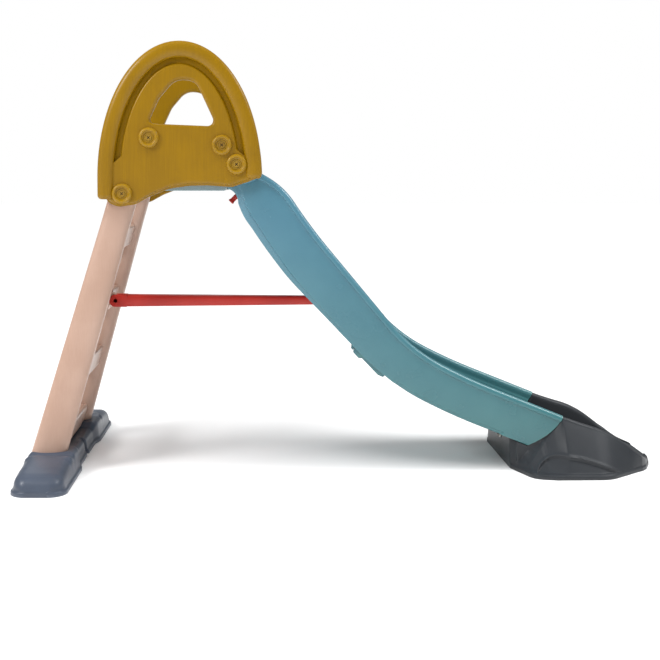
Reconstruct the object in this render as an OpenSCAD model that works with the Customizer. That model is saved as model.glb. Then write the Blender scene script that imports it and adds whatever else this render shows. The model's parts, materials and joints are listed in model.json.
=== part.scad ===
// Folding toddler slide: a ladder with four steps, an arched handrail panel on each side,
// a small deck, a curved chute, an exit foot and a tie bar that holds the ladder open.
// +X runs from the ladder to the exit, +Z is up, and the origin is on the floor at the middle.

/* [Overall] */
// Height of the deck and of the chute's top edge
deck_h = 728; // [660:1:880]
// Half the width between the two handrail panels
inside_y = 162; // [150:1:195]
// Lean of the ladder from the vertical, in degrees
ladder_lean = 16.2; // [13:0.1:19]

/* [Handrail panels] */
// Half the width of the arch
arch_rx = 202; // [198:1:210]
// Rise of the arch above its springing line
arch_rz = 336; // [300:1:400]
// Width of the raised bead round the arch
bead_w = 37; // [24:1:45]
// Thickness of the flat web
web_t = 20; // [14:1:28]
// How far the bead stands out past the web
bead_lift = 8; // [4:1:14]

/* [Ladder] */
// Top of the lowest step
first_step_h = 105; // [90:1:120]
// Drop from the deck to the top step
top_step_drop = 117; // [110:1:140]
// Height of a step's front wall
step_h = 56; // [48:1:64]
// Width of a rail at the top
rail_w_top = 71; // [58:0.1:78]
// Width of a rail at the floor
rail_w_foot = 86; // [78:1:94]
// Thickness of a rail at the top
rail_t_top = 44; // [38:1:46]
// Thickness of a rail at the floor
rail_t_foot = 50; // [44:1:56]
// How far each rail splays outwards from top to floor
rail_splay = 36; // [20:1:44]

/* [Ladder foot] */
// Length of the foot across the slide
foot_l = 744; // [680:2:800]
// Width of the foot
foot_w = 133; // [125:1:150]
// Height of the collars round the rails
foot_collar_h = 60; // [52:1:68]
// Thickness of the floor flange
foot_flange_t = 10; // [8:1:14]

/* [Chute] */
// Gap between the chute's side and a handrail panel
chute_side_gap = 4; // [3:0.5:6]
// Width of one hollow side wall
wall_w = 22; // [18:1:30]
// Plastic thickness of the chute
skin_t = 4; // [3:0.5:6]
// Steepest angle of the straight run
steep_a = 50; // [46:1:52]
// Angle of the run-out
runout_a = 22; // [18:1:24]
// Length of the straight run-out
runout_l = 190; // [150:5:220]

/* [Exit foot] */
// Length of the run-out bed on the exit foot
exit_l = 270; // [240:5:300]
// Half the width of the exit foot on the floor
exit_half_w = 243; // [225:1:270]
// Height of the lip where the bed meets the floor
exit_lip_h = 14; // [10:1:18]
// Shell thickness of the exit foot
exit_t = 6; // [4:0.5:9]

/* [Tie bar] */
// Height of the bar at the ladder end
bar_h_ladder = 33; // [28:1:36]
// Height of the bar at the chute end
bar_h_chute = 23; // [20:1:26]
// Thickness of the bar across the slide
bar_t = 32; // [28:0.1:39]
// Radius of the bar's two cross pins
bar_pin_r = 5; // [4:0.25:6]

/* [Fasteners] */
// Radius of the flanged bolt cups
cup_r = 25; // [22:1:27]
// Radius of the cups' sleeves, which the ladder turns on
sleeve_r = 10; // [8:0.5:12]
// Radius of the screws' shanks
screw_r = 4; // [3:0.25:5]
// Radius of the screws' heads
head_r = 8; // [6:0.25:9]

/* [Clearances] */
// Radial running clearance on the two hinges
run_gap = 0.06; // [0.02:0.01:0.1]
// Gap between fixed pieces that slip together
fit_gap = 0.4; // [0.2:0.1:0.8]
// Side gap between pieces that swing past each other
swing_gap = 0.6; // [0.5:0.1:1]

/* [Hidden] */
$fn = 48;

mustard = "#b8901c";
teal = "#5f97a5";
deck_grey = "#84a3ad";
beige = "#cfae9c";
red = "#d23a2c";
slate = "#5b6570";
charcoal = "#45494b";
steel = "#9a9a96";

cut = 1;
points_n = 48;

// The chute's bed is a path that turns through these slopes, as [distance along the bed, slope down].
crest_l = 150;
crest_a = 56;
settle_l = 150;
bend_l = 340;
function bed_slopes(steep) = [[0, 0], [0.4*crest_l, 43], [crest_l, crest_a], [crest_l + settle_l, steep_a],
    [crest_l + settle_l + steep, steep_a], [crest_l + settle_l + steep + 0.56*bend_l, 28],
    [crest_l + settle_l + steep + bend_l, runout_a]];
exit_slopes = [[0, runout_a], [0.45*exit_l, 16], [exit_l, 4]];

// A path that starts at a point and follows a table of slopes, and the same path moved square to itself.
function trace(slopes, length, start) = [for (
    i = 0, p = start;
    i <= points_n;
    i = i + 1,
    a = lookup((i - 0.5)*length/points_n, slopes),
    p = p + length/points_n*[cos(a), -sin(a)]) p];
function raised(path, slopes, length, heights) = [for (i = [0:points_n])
    let (s = i*length/points_n, a = lookup(s, slopes)) path[i] + lookup(s, heights)*[sin(a), cos(a)]];
function reversed(list) = [for (i = [len(list) - 1:-1:0]) list[i]];
function first(list, count) = [for (i = [0:count - 1]) list[i]];
function x_at_height(path, z) = lookup(z, [for (p = path) [p[1], p[0]]]);

// The steep run is as long as the deck's height needs.
bends_l = crest_l + settle_l + bend_l + runout_l;
bends_drop = -trace(bed_slopes(0), bends_l, [0, 0])[points_n][1];
exit_rel = trace(exit_slopes, exit_l, [0, 0]);
exit_drop = -exit_rel[points_n][1];
steep_l = (deck_h - exit_lip_h - exit_drop - bends_drop)/sin(steep_a);
chute_l = bends_l + steep_l;
chute_slopes = bed_slopes(steep_l);
chute_run = trace(chute_slopes, chute_l, [0, 0])[points_n][0];

// Places along X, counted from the chute's top edge and then centred on the whole slide.
pivot_back = 260;
pivot_z = deck_h - 30;
foot_ahead = 25;
foot_mid_back = pivot_back + pivot_z*tan(ladder_lean) - foot_ahead;
lip_run = 8;
rear_back = foot_mid_back + foot_w/2;
slide_l = rear_back + chute_run + exit_rel[points_n][0] + lip_run;
bed_x = rear_back - slide_l/2;
pivot_x = bed_x - pivot_back;
foot_x = bed_x - foot_mid_back;
arch_x = bed_x - 119;
arch_z = deck_h + 7;
nose_x = slide_l/2;

// Chute edges
bed = trace(chute_slopes, chute_l, [bed_x, deck_h]);
rim_heights = [[0, 30], [110, 64], [0.55*chute_l, 62], [chute_l, 63]];
skirt_heights = [[0, -14], [90, -60], [300, -62], [600, -42], [chute_l, -38]];
rim = raised(bed, chute_slopes, chute_l, rim_heights);
skirt = raised(bed, chute_slopes, chute_l, skirt_heights);
end_rake = 55;
skirt_count = points_n + 1 - round(end_rake*points_n/chute_l);
half_chute = inside_y - chute_side_gap;
trough_half = half_chute - wall_w;

// Exit edges
exit_start = bed[points_n];
exit_bed = trace(exit_slopes, exit_l, exit_start);
exit_rims = [[0, 63], [0.4*exit_l, 66], [0.6*exit_l, 56], [0.78*exit_l, 32], [exit_l, 0]];
exit_rim = raised(exit_bed, exit_slopes, exit_l, exit_rims);
saddle_l = 104;

// Rail and ladder places
rail_y_top = inside_y - swing_gap - rail_t_top/2;
rail_y_foot = rail_y_top + rail_splay;
rail_straight = 70;
rail_reach = pivot_z/cos(ladder_lean);
rail_floor_z = 10;
function along_rail(z) = (pivot_z - z)/cos(ladder_lean);
function rail_share(z) = max(0, (along_rail(z) - rail_straight)/(rail_reach - rail_straight));
function rail_x(z) = pivot_x - (pivot_z - z)*tan(ladder_lean);
function rail_w(z) = rail_w_top + rail_share(z)*(rail_w_foot - rail_w_top);
function rail_inner_y(z) = rail_y_top + rail_share(z)*rail_splay
    - (rail_t_top + rail_share(z)*(rail_t_foot - rail_t_top))/2;
step_count = 4;
step_rise = (deck_h - top_step_drop - first_step_h)/(step_count - 1);
step_inset = 4;
step_wall = 4;
tenon = 10;
function step_top(i) = first_step_h + (i - 1)*step_rise;

// Tie bar places
lug_step = step_count - 1;
bar_z = step_top(lug_step) - step_h/2;
bar_hinge_x = rail_x(bar_z) + 39;
bar_peg_x = x_at_height(skirt, bar_z) + 15;
bar_half_t = bar_t/2;
lug_half_t = 9;
lug_r = 12;
ear_t = 6;

// Bolt places as [x, z, Y of the inner face that the nut pulls against]
nut_r = 20;
pivot_bolt = [pivot_x, pivot_z, rail_y_top - rail_t_top/2 - swing_gap];
rear_bolt = [pivot_x + 66, deck_h + 107, inside_y - fit_gap - 7];
front_bolt = [pivot_x + 245, deck_h + 89, inside_y - fit_gap - 7];
chute_bolt = [bed_x + 21, deck_h + 42, inside_y - fit_gap - 14];

// Draws something and its mirror image on the far side.
module both_sides() {
    children();
    mirror([0, 1, 0]) children();
}

// A cylinder along Y from y0 to y1.
module rod_y(x, z, r, y0, y1) {
    translate([x, y1, z])
        rotate([90, 0, 0])
            cylinder(r = r, h = y1 - y0);
}

// An XZ outline given thickness along Y from y0 to y1.
module slab_y(points, y0, y1) {
    translate([0, y1, 0])
        rotate([90, 0, 0])
            linear_extrude(y1 - y0)
                polygon(points);
}

function arch(rx, rz) = [for (a = [0:5:180]) [arch_x + rx*cos(a), arch_z + rz*sin(a)]];

// Flat web with a lobe round the ladder pivot, under a raised arch bead with rounded ends.
module panel() {
    web_outer = inside_y + web_t;
    rear_leg = arch_x - arch_rx;
    lobe_r = 31;
    rear_end_z = pivot_z - 16 + bead_w/2;
    front_end_z = arch_z;
    bead_x = arch_rx - bead_w/2;
    hand_z = deck_h + 149;
    difference() {
        union() {
            slab_y(concat(arch(arch_rx - 3, arch_rz - 3), [[rear_leg + 3, rear_end_z - 2], [pivot_x - 28, pivot_z - 14],
                [pivot_x + 31, pivot_z - 24], [pivot_x + 67, deck_h - 36], [pivot_x + 115, deck_h - 16],
                [pivot_x + 162, deck_h - 7], [pivot_x + 209, deck_h - 3], [pivot_x + 274, deck_h - 10],
                [pivot_x + 308, deck_h]]), inside_y, web_outer);
            rod_y(pivot_x, pivot_z, lobe_r, inside_y, web_outer - 0.5);
            slab_y(concat(arch(arch_rx, arch_rz), [[rear_leg, rear_end_z], [rear_leg + bead_w, rear_end_z]],
                reversed(arch(arch_rx - bead_w, arch_rz - bead_w))), inside_y, web_outer + bead_lift);
            rod_y(arch_x - bead_x, rear_end_z, bead_w/2 - 0.2, inside_y, web_outer + bead_lift - 0.3);
            rod_y(arch_x + bead_x, front_end_z, bead_w/2 - 0.2, inside_y, web_outer + bead_lift - 0.3);
        }
        translate([0, inside_y + web_t + cut, 0])
            rotate([90, 0, 0])
                linear_extrude(web_t + 2*cut)
                    hull() {
                        translate([arch_x - 59, hand_z]) circle(r = 10, $fn = 32);
                        translate([arch_x + 74, hand_z]) circle(r = 10, $fn = 32);
                        translate([arch_x + 15, hand_z + 68]) circle(r = 29, $fn = 32);
                    }
        for (b = [pivot_bolt, rear_bolt, front_bolt, chute_bolt])
            rod_y(b[0], b[1], sleeve_r + fit_gap/2, inside_y - cut, web_outer + bead_lift + cut);
        for (b = [pivot_bolt, chute_bolt])
            rod_y(b[0], b[1], cup_r + fit_gap, web_outer, web_outer + bead_lift + cut);
    }
}

module side_panel_near() {
    color(mustard)
        mirror([0, 1, 0]) panel();
}

module side_panel_far() {
    color(mustard) panel();
}

// Deck tray with two tall cheeks that the upper bolts hold against the panels.
module platform() {
    deck_x0 = pivot_x + 70;
    deck_x1 = bed_x - 7;
    cheek_y = inside_y - fit_gap;
    cheek_t = 7;
    deck_t = 21;
    color(deck_grey)
        difference() {
            union() {
                translate([deck_x0, -cheek_y + cut, deck_h - 2 - deck_t])
                    cube([deck_x1 - deck_x0, 2*(cheek_y - cut), deck_t]);
                both_sides()
                    slab_y([[pivot_x + 57, deck_h - 23], [pivot_x + 41, deck_h + 72], [pivot_x + 41, deck_h + 134],
                        [bed_x - 2, deck_h + 134], [bed_x - 2, deck_h - 23]], cheek_y - cheek_t, cheek_y);
            }
            for (side = [-1, 1])
                translate([deck_x0 + 5, side > 0 ? 3 : 8 - cheek_y, deck_h - 2 - deck_t - cut])
                    cube([deck_x1 - deck_x0 - 10, cheek_y - 11, deck_t - 4]);
            both_sides()
                for (b = [rear_bolt, front_bolt])
                    rod_y(b[0], b[1], sleeve_r + fit_gap/2, cheek_y - cheek_t - cut, cheek_y + cut);
            both_sides()
                rod_y(chute_bolt[0], chute_bolt[1], cup_r + 4, cheek_y - cheek_t - cut, cheek_y + cut);
        }
}

// Places something at a distance along the chute's bed, with Z square to the bed.
module on_bed(s) {
    i = round(s*points_n/chute_l);
    translate([bed[i][0], 0, bed[i][1]])
        rotate([0, lookup(s, chute_slopes), 0])
            children();
}

exit_screw_s = chute_l - 104;
exit_screw_y = trough_half - 40;
hose_x = bed_x + 41;
hose_tilt = 45;

// Two ears under the bed, each with a slot open down the slope, that hold the tie bar's peg.
module bar_ear() {
    slot_w = 2*bar_pin_r + 1;
    difference() {
        slab_y([[bar_peg_x - 34, bar_z + 118], [bar_peg_x - 15, bar_z + 8], [bar_peg_x - 15, bar_z - 9],
            [bar_peg_x - 6, bar_z - 15], [bar_peg_x + 14, bar_z - 15], [bar_peg_x + 17, bar_z + 6],
            [bar_peg_x + 22, bar_z + 50]], bar_half_t + swing_gap, bar_half_t + swing_gap + ear_t);
        translate([bar_peg_x, 0, bar_z])
            rotate([0, 50, 0])
                translate([0, bar_half_t + swing_gap - cut, -slot_w/2])
                    cube([40, ear_t + 2*cut, slot_w]);
        rod_y(bar_peg_x, bar_z, slot_w/2, bar_half_t, bar_half_t + ear_t + 2);
    }
}

// Hat-section channel: a bed between two hollow side walls, open underneath.
module chute() {
    skirt_end = first(skirt, skirt_count);
    lower = [for (p = skirt_end) p - [0, 60]];
    above = [for (p = rim) p + [0, 80]];
    bed_under = [for (p = raised(bed, chute_slopes, chute_l, [[0, -skin_t - 1], [chute_l, -skin_t - 1]])) p];
    under_rim = [for (p = raised(bed, chute_slopes, chute_l, [for (h = rim_heights) [h[0], h[1] - skin_t - 1]])) p];
    ear_y = inside_y - fit_gap;
    cradle_s = 600;
    color(teal)
        difference() {
            union() {
                difference() {
                    slab_y(concat(rim, reversed(skirt_end)), -half_chute, half_chute);
                    slab_y(concat([above[0] - [cut, 0], bed[0] - [cut, 0]], bed, [bed[points_n] + [40, -16]],
                        [above[points_n] + [40, 0]], reversed(above)), -trough_half, trough_half);
                    slab_y(concat([bed_under[0] - [cut, 0]], bed_under, [bed_under[points_n] + [40, -16]],
                        reversed(lower), [lower[0] - [cut, 0]]), skin_t - half_chute, half_chute - skin_t);
                    both_sides()
                        slab_y(concat(first(under_rim, points_n), [under_rim[points_n - 1] - [4, 40]], reversed(lower)),
                            trough_half + skin_t, half_chute - skin_t);
                }
                both_sides()
                    slab_y([[bed_x, deck_h - 14], [bed_x, deck_h + 70], [bed_x + 56, deck_h + 70],
                        [bed_x + 82, deck_h + 36], [bed_x + 76, deck_h - 4], [bed_x + 40, deck_h - 30]],
                        ear_y - 14, ear_y);
                both_sides() bar_ear();
                both_sides()
                    on_bed(cradle_s)
                        translate([-48, bar_half_t + ear_t + 3*swing_gap, -62])
                            cube([96, 20, 58]);
                both_sides()
                    on_bed(exit_screw_s)
                        translate([0, exit_screw_y, -37])
                            cylinder(r = 11, h = 36);
            }
            both_sides()
                rod_y(chute_bolt[0], chute_bolt[1], sleeve_r + fit_gap/2, ear_y - 14 - cut, ear_y + cut);
            both_sides()
                rod_y(chute_bolt[0], chute_bolt[1], nut_r + fit_gap, trough_half - cut, chute_bolt[2]);
            both_sides()
                on_bed(exit_screw_s)
                    translate([0, exit_screw_y, -37 - cut])
                        cylinder(r = screw_r, h = 32);
            hose_axis() cylinder(r = 6.5 + fit_gap/2, h = 60, center = true);
        }
}

// Line of the water hose connector, which goes through the bed near its top and points down and back.
module hose_axis() {
    translate([hose_x, 0, lookup(hose_x, bed) - 2])
        rotate([0, hose_tilt, 0])
            children();
}

// Hose connector with a flange on the bed, a stem, and a bead that holds the hose.
module hose_nipple() {
    color(red)
        hose_axis()
            difference() {
                union() {
                    translate([0, 0, -55]) cylinder(r = 6.5, h = 66);
                    translate([0, 0, -58]) cylinder(r = 8, h = 4);
                    translate([0, 0, 9]) cylinder(r = 12, h = 3);
                }
                translate([0, 0, -60]) cylinder(r = 4, h = 80);
            }
}

module hose_nut() {
    color(red)
        hose_axis()
            translate([0, 0, -22])
                difference() {
                    cylinder(r = 13, h = 8, $fn = 6);
                    translate([0, 0, -cut]) cylinder(r = 6.5, h = 8 + 2*cut);
                }
}

// Floor outline of the exit foot: square behind, narrowing to a round nose.
module exit_plan(inset) {
    rear_x = exit_start[0] - saddle_l;
    hull() {
        for (side = [-1, 1]) {
            translate([rear_x + 62, side*(exit_half_w - 40)]) circle(r = 40 - inset, $fn = 32);
            translate([rear_x + 30, side*120]) circle(r = 30 - inset, $fn = 32);
            translate([nose_x - 186, side*(exit_half_w - 70)]) circle(r = 70 - inset, $fn = 32);
            translate([nose_x - 110, side*60]) circle(r = 110 - inset, $fn = 32);
        }
    }
}

// Shell with a flared skirt, two rims that fade out, and a saddle under the chute's end.
module exit_foot() {
    rear_x = exit_start[0] - saddle_l;
    seam = first([for (p = skirt) p - [0, fit_gap]], skirt_count);
    seam_foot = seam[skirt_count - 1];
    seam_tip = rim[points_n] + [fit_gap, 0];
    rear_z = lookup(rear_x, seam);
    saddle_z = seam_foot[1] - exit_t - 2;
    bed_under = [for (p = exit_bed) p - [0, exit_t]];
    color(charcoal)
        difference() {
            hull() {
                linear_extrude(foot_flange_t) exit_plan(0);
                slab_y(concat([[rear_x + 8, 0], [rear_x + 8, rear_z]], first(exit_rim, points_n - 1),
                    [[nose_x - 30, 0]]), -half_chute, half_chute);
            }
            slab_y(concat(seam, [seam_foot, seam_tip, seam_tip + [0, 60]], [seam[0] + [0, 400]]), -300, 300);
            slab_y(concat([exit_start - [120, -18]], exit_bed, [exit_bed[points_n] + [60, -4], [nose_x + 60, 200]],
                [[exit_start[0] - 120, 200]]), -trough_half, trough_half);
            intersection() {
                hull() {
                    translate([0, 0, -cut]) linear_extrude(4) exit_plan(exit_t);
                    slab_y(concat([[rear_x + 16, 0], [rear_x + 16, rear_z - 6]],
                        first([for (p = exit_rim) p - [0, 10]], points_n - 2), [[nose_x - 40, 0]]),
                        exit_t - half_chute, half_chute - exit_t);
                }
                slab_y(concat([[rear_x, -2*cut], [rear_x, rear_z - exit_t - 4], [seam_foot[0] - 6, saddle_z],
                    exit_start - [0, exit_t + 16]], bed_under, [[nose_x, exit_lip_h - exit_t], [nose_x, -2*cut]]),
                    -exit_half_w, exit_half_w);
            }
            both_sides()
                on_bed(exit_screw_s)
                    translate([0, exit_screw_y, -60])
                        cylinder(r = screw_r + fit_gap, h = 60);
        }
}

// Pan-head screws with a cross recess, through the saddle into the chute's bosses.
module exit_screws() {
    color(steel)
        both_sides()
            on_bed(exit_screw_s)
                translate([0, exit_screw_y, -52])
                    union() {
                        cylinder(r = screw_r - 0.1, h = 42);
                        cylinder(r = 7, h = 4);
                    }
}

// A flanged cup whose sleeve goes through the panel and what the panel holds.
module bolt_cup(b) {
    seat_y = inside_y + web_t;
    color(mustard)
        both_sides()
            difference() {
                union() {
                    rod_y(b[0], b[1], cup_r, seat_y, seat_y + 7);
                    rod_y(b[0], b[1], cup_r - 6, seat_y + 6, seat_y + 10);
                    rod_y(b[0], b[1], sleeve_r, b[2] + 0.1, seat_y + cut);
                }
                rod_y(b[0], b[1], 14, seat_y + 3, seat_y + 10 + cut);
                rod_y(b[0], b[1], screw_r + 0.1, b[2] - cut, seat_y + 3 + cut);
            }
}

// A screw with a domed head and a cross recess.
module bolt_screw(b) {
    seat_y = inside_y + web_t + 3;
    color(steel)
        both_sides()
            difference() {
                union() {
                    rod_y(b[0], b[1], screw_r, b[2] - 12, seat_y + cut);
                    rod_y(b[0], b[1], head_r, seat_y, seat_y + 4);
                }
                for (turn = [45, 135])
                    translate([b[0], seat_y + 4, b[1]])
                        rotate([0, turn, 0])
                            cube([10, 4, 1.8], center = true);
            }
}

// A round flanged nut on the inside.
module bolt_nut(b) {
    color(mustard)
        both_sides()
            difference() {
                union() {
                    rod_y(b[0], b[1], nut_r, b[2] - 5, b[2]);
                    rod_y(b[0], b[1], 12, b[2] - 15, b[2] - 4);
                }
                rod_y(b[0], b[1], screw_r, b[2] - 16, b[2] + cut);
            }
}

module pivot_cups() { bolt_cup(pivot_bolt); }
module rear_cups() { bolt_cup(rear_bolt); }
module front_cups() { bolt_cup(front_bolt); }
module chute_cups() { bolt_cup(chute_bolt); }
module pivot_screws() { bolt_screw(pivot_bolt); }
module rear_screws() { bolt_screw(rear_bolt); }
module front_screws() { bolt_screw(front_bolt); }
module chute_screws() { bolt_screw(chute_bolt); }
module pivot_nuts() { bolt_nut(pivot_bolt); }
module rear_nuts() { bolt_nut(rear_bolt); }
module front_nuts() { bolt_nut(front_bolt); }
module chute_nuts() { bolt_nut(chute_bolt); }

// The rail's outer shape: a round head, a straight top and a splayed taper down to the floor.
module rail_shape(grow, floor_z) {
    half_top = rail_w_top/2 + grow;
    half_foot = rail_w_foot/2 + grow;
    inner_top = rail_y_top - rail_t_top/2;
    outer_top = rail_y_top + rail_t_top/2;
    inner_foot = rail_y_foot - rail_t_foot/2 - grow;
    outer_foot = rail_y_foot + rail_t_foot/2 + grow;
    splay_z = pivot_z - rail_straight*cos(ladder_lean);
    head_z = pivot_z + rail_w_top;
    intersection() {
        translate([pivot_x, 0, pivot_z])
            rotate([0, ladder_lean, 0])
                union() {
                    rod_y(0, 0, rail_w_top/2 - 1.5, 0, rail_y_foot);
                    slab_y([[-half_top, 0], [half_top, 0], [half_top, -rail_straight],
                        [half_foot, -rail_reach - 20], [-half_foot, -rail_reach - 20],
                        [-half_top, -rail_straight]], 0, 2*rail_y_foot);
                }
        translate([pivot_x - 500, 0, 0])
            rotate([90, 0, 90])
                linear_extrude(800)
                    polygon([[inner_top, head_z], [inner_top, splay_z], [inner_foot, floor_z],
                        [outer_foot, floor_z], [outer_top, splay_z], [outer_top, head_z]]);
    }
}

// The step's outline in XZ: level on top, its two walls parallel to the rails.
function step_outline(i, inset, drop) = [
    let (z1 = step_top(i) - inset, z0 = step_top(i) - step_h - drop, h = rail_w(z1)/2/cos(ladder_lean) - step_inset - inset)
    for (p = [[rail_x(z1) - h, z1], [rail_x(z1) + h, z1], [rail_x(z0) + h, z0], [rail_x(z0) - h, z0]]) p];

module rail() {
    difference() {
        rail_shape(0, rail_floor_z);
        rod_y(pivot_x, pivot_z, sleeve_r + run_gap, 0, inside_y + cut);
        for (i = [1:step_count])
            slab_y(step_outline(i, -fit_gap, fit_gap), 0, rail_inner_y(step_top(i) - step_h) + tenon + fit_gap);
        translate([rail_x(30), rail_y_foot, 0])
            cylinder(r = screw_r, h = 56);
    }
}

module rail_near() {
    color(beige)
        mirror([0, 1, 0]) rail();
}

module rail_far() {
    color(beige) rail();
}

// Hollow step, open underneath, that plugs into a pocket in each rail.
module step(i) {
    half_l = rail_inner_y(step_top(i) - step_h) + tenon;
    color(beige)
        difference() {
            slab_y(step_outline(i, 0, 0), -half_l, half_l);
            difference() {
                slab_y(step_outline(i, step_wall, cut), step_wall - half_l, half_l - step_wall);
                for (y = [-80, 80])
                    slab_y(step_outline(i, 0, 2*cut), y - 2, y + 2);
            }
        }
}

module step_1() { step(1); }
module step_2() { step(2); }
module step_4() { step(4); }

// The step that carries the tie bar: a slot in its front wall and a lug on a rib in the middle.
module step_3() {
    slot_half = bar_half_t + 2;
    rear_x = rail_x(bar_z) - rail_w(bar_z)/2 + 12;
    color(beige)
        difference() {
            union() {
                difference() {
                    step(lug_step);
                    translate([bar_hinge_x - 20, -slot_half, bar_z - step_h])
                        cube([60, 2*slot_half, step_h + bar_h_ladder/2 + 2]);
                }
                slab_y([[rear_x, bar_z + step_h/2 - 2], [bar_hinge_x - 6, bar_z + step_h/2 - 2], [bar_hinge_x + 2, bar_z + 11],
                    [bar_hinge_x, bar_z - 11], [rear_x - 4, bar_z - 18]], -lug_half_t, lug_half_t);
                rod_y(bar_hinge_x, bar_z, lug_r, -lug_half_t, lug_half_t);
            }
            rod_y(bar_hinge_x, bar_z, bar_pin_r + run_gap, -lug_half_t - cut, lug_half_t + cut);
        }
}

// Plan of the foot: a long bar with round corners and a slight waist.
module foot_plan(inset) {
    waist = 10;
    half_w = foot_w/2 - inset;
    half_l = foot_l/2 - inset;
    corner = 34;
    translate([foot_x, 0])
        polygon(concat(
            [for (a = [0:10:90]) [half_w - corner + corner*cos(a), half_l - corner + corner*sin(a)]],
            [for (a = [90:10:180]) [-half_w + corner + corner*cos(a), half_l - corner + corner*sin(a)]],
            [for (a = [180:10:270]) [-half_w + corner + corner*cos(a), -half_l + corner + corner*sin(a)]],
            [for (a = [270:10:360]) [half_w - corner + corner*cos(a), -half_l + corner + corner*sin(a)]],
            [[half_w - waist, -rail_y_foot + 40], [half_w - waist, -12], [half_w - waist - 7, -12]],
            [[half_w - waist - 7, 12], [half_w - waist, 12], [half_w - waist, rail_y_foot - 40]]));
}

// A YZ outline given thickness along X over the whole foot.
module foot_side(points) {
    translate([foot_x - foot_w, 0, 0])
        rotate([90, 0, 90])
            linear_extrude(2*foot_w)
                polygon(points);
}

// Hollow foot with a floor flange, sloping ends and a collar round each rail.
module ladder_foot() {
    top_z = 42;
    half_l = foot_l/2;
    y0 = rail_y_foot - 50;
    y1 = rail_y_foot + 50;
    side = [[y0 - 15, top_z], [y0, foot_collar_h], [y1, foot_collar_h], [y1 + 15, top_z + 2], [half_l - 22, 20],
        [half_l, 8], [half_l, 0]];
    color(slate)
        difference() {
            union() {
                linear_extrude(foot_flange_t) foot_plan(0);
                intersection() {
                    linear_extrude(foot_collar_h + cut) foot_plan(7);
                    foot_side(concat(side, [for (p = reversed(side)) [-p[0], p[1]]]));
                }
            }
            both_sides() rail_shape(fit_gap, rail_floor_z - 0.1);
            slab_y(step_outline(1, -fit_gap, fit_gap), -rail_y_foot, rail_y_foot);
            translate([foot_x - foot_w/2 + 14, 12 - y0, -cut])
                cube([foot_w - 42, 2*y0 - 24, top_z - 4]);
            both_sides()
                intersection() {
                    translate([foot_x - foot_w/2 + 14, y1 + 10, -cut])
                        cube([foot_w - 28, half_l - y1 - 40, top_z]);
                    foot_side([[y1, -2*cut], [y1, top_z - 6], [half_l - 30, 12], [half_l - 30, -2*cut]]);
                }
            both_sides()
                translate([rail_x(30), rail_y_foot, -cut])
                    cylinder(r = screw_r + fit_gap, h = 20);
            both_sides()
                translate([rail_x(30), rail_y_foot, -cut])
                    cylinder(r = head_r + fit_gap, h = 5 + cut);
        }
}

module foot_screws() {
    color(steel)
        both_sides()
            translate([rail_x(30), rail_y_foot, 1])
                union() {
                    cylinder(r = screw_r - 0.1, h = 50);
                    cylinder(r = head_r, h = 4);
                }
}

// Tapered bar, forked round the step's lug at one end, with a level lower edge.
module tie_bar() {
    drop = bar_h_chute/2;
    low = bar_z - bar_h_ladder/2;
    tip = bar_peg_x + 11;
    color(red)
        difference() {
            union() {
                slab_y([[bar_hinge_x, low], [bar_hinge_x, low + bar_h_ladder], [bar_hinge_x + 30, low + bar_h_ladder],
                    [tip - 6, bar_z + drop], [tip, bar_z + drop - 6], [tip, bar_z - drop + 4], [tip - 4, bar_z - drop],
                    [bar_hinge_x + 40, low]], -bar_half_t, bar_half_t);
                rod_y(bar_hinge_x, bar_z, bar_h_ladder/2 - 0.2, -bar_half_t + 0.2, bar_half_t - 0.2);
            }
            translate([bar_hinge_x - 20, -lug_half_t - swing_gap, low - cut])
                cube([40, 2*(lug_half_t + swing_gap), bar_h_ladder + 2*cut]);
            rod_y(bar_hinge_x, bar_z, bar_pin_r, -bar_half_t - cut, bar_half_t + cut);
            rod_y(bar_peg_x, bar_z, bar_pin_r, -bar_half_t - cut, bar_half_t + cut);
        }
}

module tie_bar_pin() {
    color(red) rod_y(bar_hinge_x, bar_z, bar_pin_r, -bar_half_t, bar_half_t);
}

module tie_bar_peg() {
    reach = bar_half_t + swing_gap + ear_t;
    color(red) rod_y(bar_peg_x, bar_z, bar_pin_r, -reach, reach);
}

side_panel_near();
side_panel_far();
platform();
chute();
exit_foot();
pivot_cups();
rear_cups();
front_cups();
chute_cups();
pivot_screws();
rear_screws();
front_screws();
chute_screws();
pivot_nuts();
rear_nuts();
front_nuts();
chute_nuts();
hose_nipple();
hose_nut();
exit_screws();
rail_near();
rail_far();
step_1();
step_2();
step_3();
step_4();
ladder_foot();
foot_screws();
tie_bar();
tie_bar_pin();
tie_bar_peg();
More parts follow.
